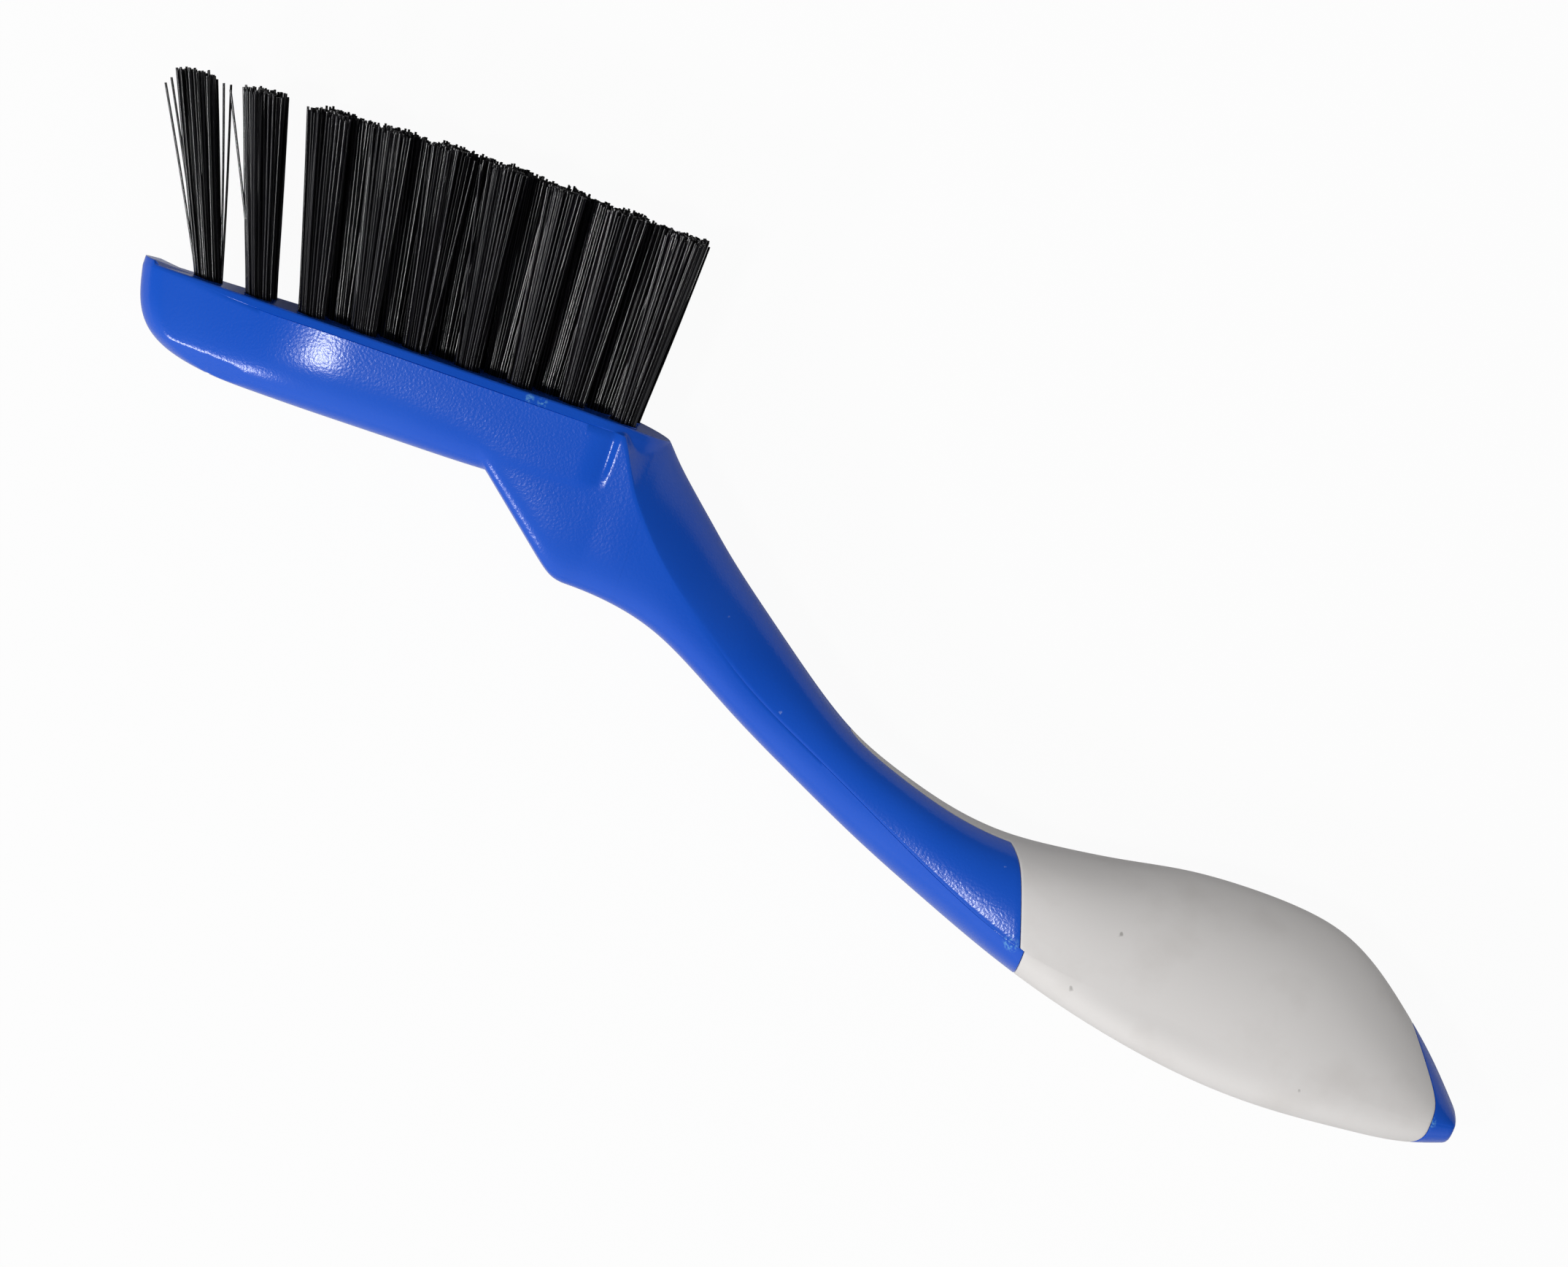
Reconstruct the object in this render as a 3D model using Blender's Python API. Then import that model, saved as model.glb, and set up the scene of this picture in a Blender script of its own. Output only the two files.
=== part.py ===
"""Detailing brush: a blue moulded head and handle, a soft grey sleeve, and stapled nylon tufts.

The brush lies on its side. X runs along the bristle face from the nose to the tail, Y points the way
the bristles point, and Z is the brush's width. The widest side of the sleeve touches the ground.
"""
from math import asin, cos, pi, radians, sin, sqrt, tan

import bmesh
import bpy
import numpy as np
from mathutils import Vector
from mathutils.geometry import delaunay_2d_cdt

MM = 0.001
WELD_DISTANCE = 1e-7

# Head block, measured from the nose tip and from the bristle face
HEAD_LENGTH = 83.6 * MM
HEAD_WIDTH = 21.0 * MM
HEAD_DEPTH = 13.8 * MM
NOSE_WIDTH = 9.2 * MM
NOSE_ROUND = 4.2 * MM
NOSE_TAPER_LENGTH = 40.0 * MM
NOSE_TAPER_BEND = 22.0 * MM
NOSE_PROFILE_REACH = 22.5 * MM
NOSE_PROFILE_FULLNESS = 3.8
NOSE_SLOPE = 0.2
CROWN_FULLNESS = 4.2
RIM_CHAMFER_DEPTH = 1.4 * MM
RIM_CHAMFER_WIDTH = 0.5 * MM
RIM_TO_REAR_TUFT = 7.45 * MM
NOSE_LIP_LENGTH = 2.6 * MM
NOSE_LIP_HEIGHT = 0.5 * MM
NOSE_LIP_DRAFT = 0.9
CROWN_END_SHARE = 0.998

# Handle, from the rear end of the head to the flat end of the tail
HANDLE_LENGTH = 145.7 * MM
NECK_UNDERLAP = 23.8 * MM
GRIP_LENGTH = 66.2 * MM
TAIL_LENGTH = 3.3 * MM
GRIP_WALL = 2.5 * MM
GRIP_FRONT_SWEEP = 8.2 * MM
GRIP_REAR_SWEEP = 7.3 * MM
GRIP_REAR_BOW_POWER = 4
TONGUE_LENGTH = 28.0 * MM
TONGUE_WALL = 1.8 * MM
TONGUE_ROOT_ANGLE = radians(20.0)
TONGUE_TIP_ANGLE = radians(15.0)
TONGUE_TIP_ROUND = 3.0 * MM
TONGUE_TIP_BLUNTNESS = 0.2
GAP = 0.3 * MM
CORE_GAP = 0.4 * MM

# Handle seen from its side: share of its length behind the head, then millimetres above the face
TOP_EDGE = (
    (-0.20, -0.7), (0.00, -0.4), (0.012, -1.8), (0.037, -5.2), (0.115, -15.0), (0.218, -26.2), (0.30, -33.0),
    (0.38, -36.9), (0.46, -38.5), (0.57, -36.9), (0.67, -34.5), (0.75, -34.1), (0.82, -35.6),
    (0.88, -39.6), (0.94, -46.6), (1.00, -55.5),
)
BOTTOM_EDGE = (
    (-0.164, -13.3), (-0.145, -15.9), (-0.075, -24.4), (-0.01, -25.4), (0.073, -29.0), (0.156, -35.4),
    (0.28, -44.2), (0.40, -51.8), (0.51, -57.7), (0.63, -62.0), (0.73, -63.9), (0.80, -64.2),
    (0.92, -63.2), (0.98, -61.7), (1.00, -60.4),
)
WIDEST_LINE = (
    (-0.20, -1.2), (-0.043, -1.3), (-0.019, -7.9), (0.03, -16.6), (0.084, -22.5), (0.145, -29.8),
    (0.25, -37.2), (0.34, -43.6), (0.44, -50.5), (0.51, -53.9), (0.71, -57.0), (0.95, -58.6), (1.00, -57.8),
)

# Half the handle's width in millimetres, and how sharp its side edge is
HALF_WIDTH = (
    (-0.164, 8.0), (-0.12, 9.9), (-0.08, 10.2), (-0.01, 10.2), (0.084, 9.2), (0.156, 8.0), (0.25, 7.1),
    (0.34, 7.4), (0.44, 9.0), (0.53, 10.9), (0.63, 12.2), (0.73, 12.6), (0.82, 12.1), (0.90, 10.4),
    (0.96, 8.4), (1.00, 6.6),
)
UPPER_EDGE_SHARPNESS = ((-0.20, 0.45), (0.05, 0.45), (0.17, 0.12), (0.60, 0.05), (1.00, 0.10))
LOWER_EDGE_SHARPNESS = ((-0.20, 0.05), (0.30, 0.10), (0.45, 0.30), (0.60, 0.12), (1.00, 0.10))
UPPER_FULLNESS = 2.0
LOWER_FULLNESS = 2.3

# Tufts: a hole for each, and one strand form for several filaments
HOLE_DIAMETER = 4.4 * MM
HOLE_DEPTH = 7.0 * MM
HOLE_SIDES = 10
HOLE_CUTTER_RISE = 3.0 * MM
TUFT_PITCH = 8.19 * MM
OUTER_TUFT_COUNT = 7
OUTER_ROW_OFFSET = 4.9 * MM
PAIR_OFFSET = 3.1 * MM
PAIR_TO_ROW = 8.55 * MM
NOSE_TO_PAIR = 8.55 * MM
TRIM_HEIGHT = 30.8 * MM
NOSE_TRIM_DROP = 2.6 * MM
REAR_TRIM_DROP = 0.8 * MM
TRIM_UNEVENNESS = 0.35 * MM
TRIM_WAVE = 2.4
NOSE_LEAN = radians(22.0)
FIRST_ROW_LEAN = radians(15.0)
OUTWARD_LEAN = radians(4.0)
ROOT_RISE = 0.3 * MM
STRAND_RINGS = ((1, 0.0), (6, 0.5), (12, 1.0))
STRAND_SIDES = 3
ROOT_SPREAD = 1.38 * MM
TIP_SPREAD = 3.1 * MM
ROOT_STRAND_RADIUS = 0.31 * MM
TIP_STRAND_RADIUS = 0.72 * MM

# Flat metal anchors, one under the fold of each tuft
ANCHOR_WIDTH = 5.4 * MM
ANCHOR_HEIGHT = 1.6 * MM
ANCHOR_THICKNESS = 0.35 * MM
ANCHOR_FLOOR_GAP = 0.1 * MM
SLOT_BELOW_HOLE = 0.3 * MM

# Facets
HEAD_PLAN_STEPS = 20
HEAD_PROFILE_STEPS = 9
NOSE_LIP_STEPS = 6
HANDLE_SIDES = 36
NECK_RINGS = 22
BORDER_RINGS = 9
SLEEVE_RINGS = 15
TONGUE_RINGS = 12
TONGUE_TIP_CROWDING = 1.5
TAIL_RINGS = 3

# Places that follow from the sizes
HEAD_HALF_WIDTH = HEAD_WIDTH / 2
REAR_TUFT_X = (OUTER_TUFT_COUNT - 1) * TUFT_PITCH
HEAD_REAR_X = REAR_TUFT_X + RIM_TO_REAR_TUFT
HEAD_NOSE_X = HEAD_REAR_X - HEAD_LENGTH
TAIL_X = HEAD_REAR_X + HANDLE_LENGTH
GRIP_REAR_X = TAIL_X - TAIL_LENGTH
GRIP_FRONT_X = GRIP_REAR_X - GRIP_LENGTH
TONGUE_ROOT_X = GRIP_FRONT_X - GRIP_FRONT_SWEEP
TONGUE_TIP_X = TONGUE_ROOT_X - TONGUE_LENGTH
TOP_INDEX = HANDLE_SIDES // 4
TONGUE_REACH = round(TONGUE_ROOT_ANGLE / (2 * pi) * HANDLE_SIDES)
TONGUE_INDICES = range(TOP_INDEX - TONGUE_REACH, TOP_INDEX + TONGUE_REACH + 1)
PAIR_X = -PAIR_TO_ROW
NOSE_TUFT_X = PAIR_X - NOSE_TO_PAIR


def smooth_line(points, scale=MM):
    """Returns a function through the points that never overshoots them."""
    place = np.array([point[0] for point in points])
    value = np.array([point[1] for point in points]) * scale
    step = np.diff(place)
    slope = np.diff(value) / step
    tangent = np.zeros(len(place))
    tangent[0] = slope[0]
    tangent[-1] = slope[-1]
    for i in range(1, len(place) - 1):
        before, after = slope[i - 1], slope[i]
        if before * after > 0:
            tangent[i] = 2 * before * after / (before + after)

    def at(position):
        i = int(np.clip(np.searchsorted(place, position) - 1, 0, len(step) - 1))
        t = min(max((position - place[i]) / step[i], 0.0), 1.0)
        rise = (1 + 2 * t) * (1 - t) ** 2 * value[i] + t * t * (3 - 2 * t) * value[i + 1]
        lean = t * (1 - t) ** 2 * tangent[i] - t * t * (1 - t) * tangent[i + 1]
        return float(rise + lean * step[i])

    return at


top_edge = smooth_line(TOP_EDGE)
bottom_edge = smooth_line(BOTTOM_EDGE)
widest_line = smooth_line(WIDEST_LINE)
half_width = smooth_line(HALF_WIDTH)
upper_sharpness = smooth_line(UPPER_EDGE_SHARPNESS, 1.0)
lower_sharpness = smooth_line(LOWER_EDGE_SHARPNESS, 1.0)


def clear_scene():
    """Removes whatever the file holds."""
    for thing in list(bpy.data.objects):
        bpy.data.objects.remove(thing, do_unlink=True)


def material(name, colour, roughness, metallic=0.0):
    """Makes a plain Principled material."""
    made = bpy.data.materials.new(name)
    made.use_nodes = True
    shader = made.node_tree.nodes["Principled BSDF"]
    shader.inputs["Base Color"].default_value = (*colour, 1.0)
    shader.inputs["Roughness"].default_value = roughness
    shader.inputs["Metallic"].default_value = metallic
    made.diffuse_color = (*colour, 1.0)
    return made


def new_object(name, mesh, finish=None):
    """Links a mesh to the scene under a name."""
    made = bpy.data.objects.new(name, mesh)
    bpy.context.scene.collection.objects.link(made)
    if finish is not None:
        mesh.materials.append(finish)
    return made


def shade(mesh, sharp_angle=radians(35)):
    """Shades a mesh smooth except at its sharp edges."""
    mesh.shade_smooth()
    mesh.set_sharp_from_angle(angle=sharp_angle)


def mesh_from_bmesh(name, form):
    """Turns a bmesh into a mesh with its faces pointing out."""
    bmesh.ops.recalc_face_normals(form, faces=form.faces)
    mesh = bpy.data.meshes.new(name)
    form.to_mesh(mesh)
    form.free()
    return mesh


def cutter(name, mesh):
    """Makes an object that only shapes others."""
    made = new_object(name, mesh)
    made.hide_render = True
    made.display_type = "WIRE"
    return made


def add_boolean(target, operation, tool):
    """Adds an exact Boolean with one tool object."""
    modifier = target.modifiers.new(tool.name, "BOOLEAN")
    modifier.operation = operation
    modifier.solver = "EXACT"
    modifier.object = tool


def loft(form, rings):
    """Skins closed rings of points with triangles, in order, and returns the rings' vertices."""
    rows = [[form.verts.new(point) for point in ring] for ring in rings]
    for lower, upper in zip(rows[:-1], rows[1:]):
        bridge(form, lower, upper)
    return rows


def bridge(form, lower, upper, skipped=()):
    """Joins two rings with triangles whose diagonals all turn the same way."""
    for i in range(len(lower)):
        if i in skipped:
            continue
        following = (i + 1) % len(lower)
        form.faces.new((lower[i], lower[following], upper[following]))
        form.faces.new((lower[i], upper[following], upper[i]))


def rounded_share(share):
    """Height share of a quarter circle at a share of its run."""
    return sqrt(max(0.0, 1 - (1 - min(share, 1.0)) ** 2))


def fullness_inset(share, fullness):
    """How far a rounded profile has drawn in at a share of its depth."""
    return 1 - (1 - min(share, 1.0) ** fullness) ** (1 / fullness)


def taper_share(run):
    """Share of the head's widening at a distance behind the nose: straight, then bending to level."""
    bend_length = NOSE_TAPER_LENGTH - NOSE_TAPER_BEND
    straight = min(max(run, NOSE_ROUND), NOSE_TAPER_BEND) - NOSE_ROUND
    bend = min(max((run - NOSE_TAPER_BEND) / bend_length, 0.0), 1.0)
    whole = NOSE_TAPER_BEND - NOSE_ROUND + bend_length / 2
    return (straight + bend_length * (bend - bend * bend / 2)) / whole


def head_half_width(run, inset):
    """Half width of the head's plan at a distance behind the nose, drawn in at the sides."""
    half = NOSE_WIDTH / 2 + (HEAD_HALF_WIDTH - NOSE_WIDTH / 2) * taper_share(run)
    return half * (HEAD_HALF_WIDTH - inset) / HEAD_HALF_WIDTH * rounded_share(run / NOSE_ROUND)


def head_ring(height, nose_inset, side_inset):
    """One closed plan outline of the head at a height, as points."""
    nose = HEAD_NOSE_X + nose_inset
    rear = HEAD_REAR_X - side_inset
    rear_round = HEAD_HALF_WIDTH - side_inset
    length = rear - nose
    halves = []
    for i in range(1, HEAD_PLAN_STEPS):
        run = length * (1 - cos(pi * i / HEAD_PLAN_STEPS)) / 2
        half = head_half_width(run, side_inset) * rounded_share((length - run) / rear_round)
        halves.append((nose + run, half))
    near = [(x, height, -half) for x, half in halves]
    far = [(x, height, half) for x, half in reversed(halves)]
    return [(nose, height, 0.0), *near, (rear, height, 0.0), *far]


def head_form():
    """The head block: plan outlines stacked from the rim to the crown."""
    rings = [
        head_ring(0.0, RIM_CHAMFER_WIDTH / 2, RIM_CHAMFER_WIDTH),
        head_ring(-RIM_CHAMFER_DEPTH, 0.0, 0.0),
    ]
    for i in range(1, HEAD_PROFILE_STEPS + 1):
        share = CROWN_END_SHARE * sin(pi / 2 * i / HEAD_PROFILE_STEPS)
        depth = RIM_CHAMFER_DEPTH + (HEAD_DEPTH - RIM_CHAMFER_DEPTH) * share
        nose_inset = NOSE_PROFILE_REACH * fullness_inset(depth / HEAD_DEPTH, NOSE_PROFILE_FULLNESS)
        nose_inset += NOSE_SLOPE * (depth - RIM_CHAMFER_DEPTH)
        side_inset = HEAD_HALF_WIDTH * fullness_inset(depth / HEAD_DEPTH, CROWN_FULLNESS)
        rings.append(head_ring(-depth, nose_inset, side_inset))
    form = bmesh.new()
    rows = loft(form, rings)
    form.faces.new(rows[0])
    form.faces.new(rows[-1])
    return mesh_from_bmesh("head_form", form)


def nose_lip_form():
    """A small raised lip on the rim at the very nose."""
    near = []
    for i in range(NOSE_LIP_STEPS + 1):
        run = RIM_CHAMFER_WIDTH + NOSE_LIP_LENGTH * (i / NOSE_LIP_STEPS) ** 2
        half = head_half_width(run, RIM_CHAMFER_WIDTH) - RIM_CHAMFER_WIDTH / 2
        near.append((HEAD_NOSE_X + run, -half))
    outline = [*near, *[(x, -z) for x, z in reversed(near)]]
    form = bmesh.new()
    rows = loft(form, [[(x, -RIM_CHAMFER_DEPTH, z) for x, z in outline],
                       [(x, NOSE_LIP_HEIGHT, z * NOSE_LIP_DRAFT) for x, z in outline]])
    form.faces.new(rows[0])
    form.faces.new(rows[-1])
    return mesh_from_bmesh("nose_lip_form", form)


def handle_point(x, angle, inset=0.0):
    """Point of the handle's surface at X and an angle from its side, turning toward the bristles."""
    share = (x - HEAD_REAR_X) / HANDLE_LENGTH
    middle = widest_line(share)
    half = half_width(share) - inset
    across, up = cos(angle), sin(angle)
    turn = min(abs(asin(max(-1.0, min(1.0, up)))) / (pi / 2), 1.0)
    if up >= 0:
        height = top_edge(share) - inset - middle
        power, sharp = 2 / UPPER_FULLNESS, upper_sharpness(share)
    else:
        height = bottom_edge(share) + inset - middle
        power, sharp = 2 / LOWER_FULLNESS, lower_sharpness(share)
    round_z = abs(across) ** power
    round_y = abs(up) ** power
    z = half * ((1 - sharp) * round_z + sharp * (1 - turn))
    y = middle + height * ((1 - sharp) * round_y + sharp * turn)
    return x, y, z if across >= 0 else -z


def handle_ring(border, inset=0.0):
    """A ring on the handle's surface whose X depends on the angle."""
    angles = [2 * pi * i / HANDLE_SIDES for i in range(HANDLE_SIDES)]
    return [handle_point(border(angle), angle, inset) for angle in angles]


def straight_border(x):
    """A border at one X all round."""
    return lambda angle: x


def mixed_border(first, second, share):
    """A border part of the way from one border to another."""
    return lambda angle: first(angle) * (1 - share) + second(angle) * share


def front_border(clearance):
    """Front edge of the sleeve: sweeps forward evenly from the side edge to the top."""
    return lambda angle: GRIP_FRONT_X - GRIP_FRONT_SWEEP * max(sin(angle), 0.0) + clearance


def rear_border(clearance):
    """Rear edge of the sleeve: bows forward under the top."""
    return lambda angle: (
        GRIP_REAR_X - GRIP_REAR_SWEEP * max(sin(angle), 0.0) ** GRIP_REAR_BOW_POWER - clearance
    )


def handle_form():
    """Neck, core and tail: one loft whose core steps in under the sleeve."""
    start = straight_border(HEAD_REAR_X - NECK_UNDERLAP)
    neck_end = straight_border(TONGUE_TIP_X)
    front = front_border(0.0)
    rear = rear_border(0.0)
    tail = straight_border(TAIL_X)
    rings = [handle_ring(mixed_border(start, neck_end, i / NECK_RINGS)) for i in range(NECK_RINGS)]
    rings += [handle_ring(mixed_border(neck_end, front, i / BORDER_RINGS)) for i in range(BORDER_RINGS + 1)]
    rings += [
        handle_ring(mixed_border(front, rear, i / SLEEVE_RINGS), GRIP_WALL) for i in range(SLEEVE_RINGS + 1)
    ]
    rings += [handle_ring(mixed_border(rear, tail, i / TAIL_RINGS)) for i in range(TAIL_RINGS + 1)]
    form = bmesh.new()
    rows = loft(form, rings)
    form.faces.new(rows[0])
    form.faces.new(rows[-1])
    return mesh_from_bmesh("handle_form", form)


def tongue_angles(x, side_gap):
    """Angles across the tongue at X, widening from its round tip to the sleeve."""
    run = x - TONGUE_TIP_X + side_gap
    widening = min(max(run / TONGUE_LENGTH, 0.0), 1.0)
    spread = TONGUE_TIP_ANGLE + (TONGUE_ROOT_ANGLE - TONGUE_TIP_ANGLE) * widening
    spread *= max(rounded_share(run / TONGUE_TIP_ROUND), TONGUE_TIP_BLUNTNESS)
    spread += side_gap / half_width((x - HEAD_REAR_X) / HANDLE_LENGTH)
    count = len(TONGUE_INDICES)
    return [pi / 2 + spread * (2 * i / (count - 1) - 1) for i in range(count)]


def tongue_ring(border, side_gap, rise, depth):
    """Closed ring round the tongue: across its top, then back across its underside."""
    angles = tongue_angles(border(pi / 2), side_gap)
    upper = [handle_point(border(angle), angle, -rise) for angle in angles]
    lower = [handle_point(border(angle), angle, depth) for angle in reversed(angles)]
    return [*upper, *lower]


def tongue_room_form():
    """Room for the tongue along the top of the neck, open upward and toward the sleeve."""
    start = TONGUE_TIP_X - GAP
    end = TONGUE_ROOT_X + GRIP_WALL
    rings = []
    for i in range(TONGUE_RINGS + 1):
        x = start + (end - start) * (i / TONGUE_RINGS) ** TONGUE_TIP_CROWDING
        rings.append(tongue_ring(straight_border(x), GAP, GRIP_WALL, TONGUE_WALL + GAP))
    form = bmesh.new()
    rows = loft(form, rings)
    form.faces.new(rows[0])
    form.faces.new(rows[-1])
    return mesh_from_bmesh("tongue_room", form)


def grip_mesh():
    """The soft sleeve with its tongue: the handle's surface outside, the core with a clearance inside."""
    front = front_border(GAP)
    rear = rear_border(GAP)
    tip = straight_border(TONGUE_TIP_X)
    borders = [mixed_border(front, rear, i / SLEEVE_RINGS) for i in range(SLEEVE_RINGS + 1)]
    form = bmesh.new()
    outer = loft(form, [handle_ring(border) for border in borders])
    inner = loft(form, [handle_ring(border, GRIP_WALL - CORE_GAP) for border in borders])
    bridge(form, outer[0], inner[0], TONGUE_INDICES[:-1])
    bridge(form, outer[-1], inner[-1])

    row = [outer[0][i] for i in TONGUE_INDICES] + [inner[0][i] for i in reversed(TONGUE_INDICES)]
    root = straight_border(TONGUE_ROOT_X)
    for i in range(1, TONGUE_RINGS + 1):
        share = 1 - (1 - i / TONGUE_RINGS) ** TONGUE_TIP_CROWDING
        ring = tongue_ring(mixed_border(root, tip, share), 0.0, 0.0, TONGUE_WALL)
        following = [form.verts.new(point) for point in ring]
        bridge(form, row, following)
        row = following
    form.faces.new(row)
    return mesh_from_bmesh("grip", form)


class Tuft:
    """Where one tuft sits, which way it leans and where it is trimmed."""

    def __init__(self, name, x, z):
        self.name = name
        self.x = x
        self.z = z
        share = (REAR_TUFT_X - x) / (REAR_TUFT_X - NOSE_TUFT_X)
        self.lean = NOSE_LEAN if x == NOSE_TUFT_X else FIRST_ROW_LEAN * (REAR_TUFT_X - x) / REAR_TUFT_X
        self.outward = 0.0 if z == 0 else OUTWARD_LEAN * (1 if z > 0 else -1)
        self.trim = TRIM_HEIGHT - NOSE_TRIM_DROP * max(0.0, 2 * share - 1) - REAR_TRIM_DROP * max(0.0, 1 - 3 * share)
        along = Vector((cos(self.lean), sin(self.lean), 0.0))
        axis = Vector((-sin(self.lean), cos(self.lean), tan(self.outward))).normalized()
        self.across = along.cross(axis).normalized()
        self.axis = axis
        self.along = self.across.cross(axis).normalized() * -1
        self.base = Vector((x, 0.0, z))

    def place(self, along, depth, across):
        """Point at a depth below the face, counted down the tuft's own axis."""
        return self.base + self.along * along - self.axis * depth + self.across * across

    def on_plane(self, along, across, height):
        """Point where a line beside the tuft's axis meets a plane above the face."""
        point = self.place(along, 0.0, across)
        return point + self.axis * ((height - point.y) / self.axis.y)


def tuft_layout():
    """All tufts: one at the nose, a pair behind it, then two outer rows and a middle row."""
    tufts = [
        Tuft("nose", NOSE_TUFT_X, 0.0),
        Tuft("pair_left", PAIR_X, PAIR_OFFSET),
        Tuft("pair_right", PAIR_X, -PAIR_OFFSET),
    ]
    for i in range(OUTER_TUFT_COUNT):
        tufts.append(Tuft(f"left_{i + 1}", i * TUFT_PITCH, OUTER_ROW_OFFSET))
        tufts.append(Tuft(f"right_{i + 1}", i * TUFT_PITCH, -OUTER_ROW_OFFSET))
    for i in range(OUTER_TUFT_COUNT - 1):
        tufts.append(Tuft(f"middle_{i + 1}", (i + 0.5) * TUFT_PITCH, 0.0))
    return tufts


def circle(radius, sides, turn=0.0):
    """Corners of a regular polygon in the plane."""
    angles = [2 * pi * i / sides + turn for i in range(sides)]
    return [(radius * cos(angle), radius * sin(angle)) for angle in angles]


def hole_form(tufts):
    """One closed cylinder for each blind hole, a little proud of the face."""
    form = bmesh.new()
    for tuft in tufts:
        corners = circle(HOLE_DIAMETER / 2, HOLE_SIDES)
        top = [tuft.on_plane(u, v, HOLE_CUTTER_RISE) for u, v in corners]
        bottom = [tuft.place(u, HOLE_DEPTH, v) for u, v in corners]
        rows = loft(form, [top, bottom])
        form.faces.new(rows[0])
        form.faces.new(rows[1])
    return mesh_from_bmesh("tuft_holes", form)


def anchor_box(name, tufts, clearance, bottom_depth, top_depth):
    """A box across the foot of each tuft, as wide as the anchor and its clearance."""
    form = bmesh.new()
    reach = ANCHOR_WIDTH / 2 + clearance
    thick = ANCHOR_THICKNESS / 2 + clearance
    for tuft in tufts:
        corners = ((-reach, -thick), (reach, -thick), (reach, thick), (-reach, thick))
        top = [tuft.place(u, top_depth, v) for u, v in corners]
        bottom = [tuft.place(u, bottom_depth, v) for u, v in corners]
        rows = loft(form, [top, bottom])
        form.faces.new(rows[0])
        form.faces.new(rows[1])
    return mesh_from_bmesh(name, form)


def strand_roots():
    """Centre and turn of each strand in its tuft, in shares of the tuft's spread."""
    places = []
    for count, share in STRAND_RINGS:
        for i in range(count):
            angle = 2 * pi * (i + 0.5 * share) / count
            places.append((share * cos(angle), share * sin(angle), angle))
    return places


def strand_corners(place, spread, radius):
    """Corners of one strand's cross-section."""
    u, v, turn = place
    return [(u * spread + a, v * spread + b) for a, b in circle(radius, STRAND_SIDES, turn)]


def tuft_mesh(tuft, number):
    """A folded root in its hole with its strands standing on it, all one body."""
    root = circle(HOLE_DIAMETER / 2 - GAP / cos(pi / HOLE_SIDES), HOLE_SIDES)
    strands = strand_roots()
    flat = list(root)
    edges = [(i, (i + 1) % HOLE_SIDES) for i in range(HOLE_SIDES)]
    for place in strands:
        first = len(flat)
        flat += strand_corners(place, ROOT_SPREAD, ROOT_STRAND_RADIUS)
        edges += [(first + i, first + (i + 1) % STRAND_SIDES) for i in range(STRAND_SIDES)]
    faces = delaunay_2d_cdt([Vector(point) for point in flat], edges, [], 1, WELD_DISTANCE)[2]
    form = bmesh.new()
    top = [form.verts.new(tuft.on_plane(u, v, ROOT_RISE)) for u, v in flat]
    foot_depth = HOLE_DEPTH - GAP
    foot = [form.verts.new(tuft.place(u, foot_depth, v)) for u, v in root]
    for i in range(HOLE_SIDES):
        following = (i + 1) % HOLE_SIDES
        form.faces.new((top[i], top[following], foot[following], foot[i]))
    form.faces.new(foot)
    for corners in faces:
        owners = {(corner - HOLE_SIDES) // STRAND_SIDES if corner >= HOLE_SIDES else -1 - corner
                  for corner in corners}
        if len(owners) > 1:
            form.faces.new([top[corner] for corner in corners])
    for i, place in enumerate(strands):
        first = HOLE_SIDES + i * STRAND_SIDES
        lift = TRIM_UNEVENNESS * sin(TRIM_WAVE * (i + 1) * (number + 1))
        tip = [
            form.verts.new(tuft.on_plane(u, v, tuft.trim + lift))
            for u, v in strand_corners(place, TIP_SPREAD, TIP_STRAND_RADIUS)
        ]
        for j in range(STRAND_SIDES):
            following = (j + 1) % STRAND_SIDES
            form.faces.new((top[first + j], top[first + following], tip[following], tip[j]))
        form.faces.new(tip)
    return mesh_from_bmesh(tuft.name, form)


def put_origin_under_middle(shaping, everything):
    """Moves every object so that the origin lies under the middle of the whole brush."""
    corners = np.array([vertex.co for thing in shaping for vertex in thing.data.vertices])
    low, high = corners.min(axis=0), corners.max(axis=0)
    middle = (low + high) / 2
    for thing in everything:
        thing.location = (-middle[0], -middle[1], -low[2])


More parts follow.
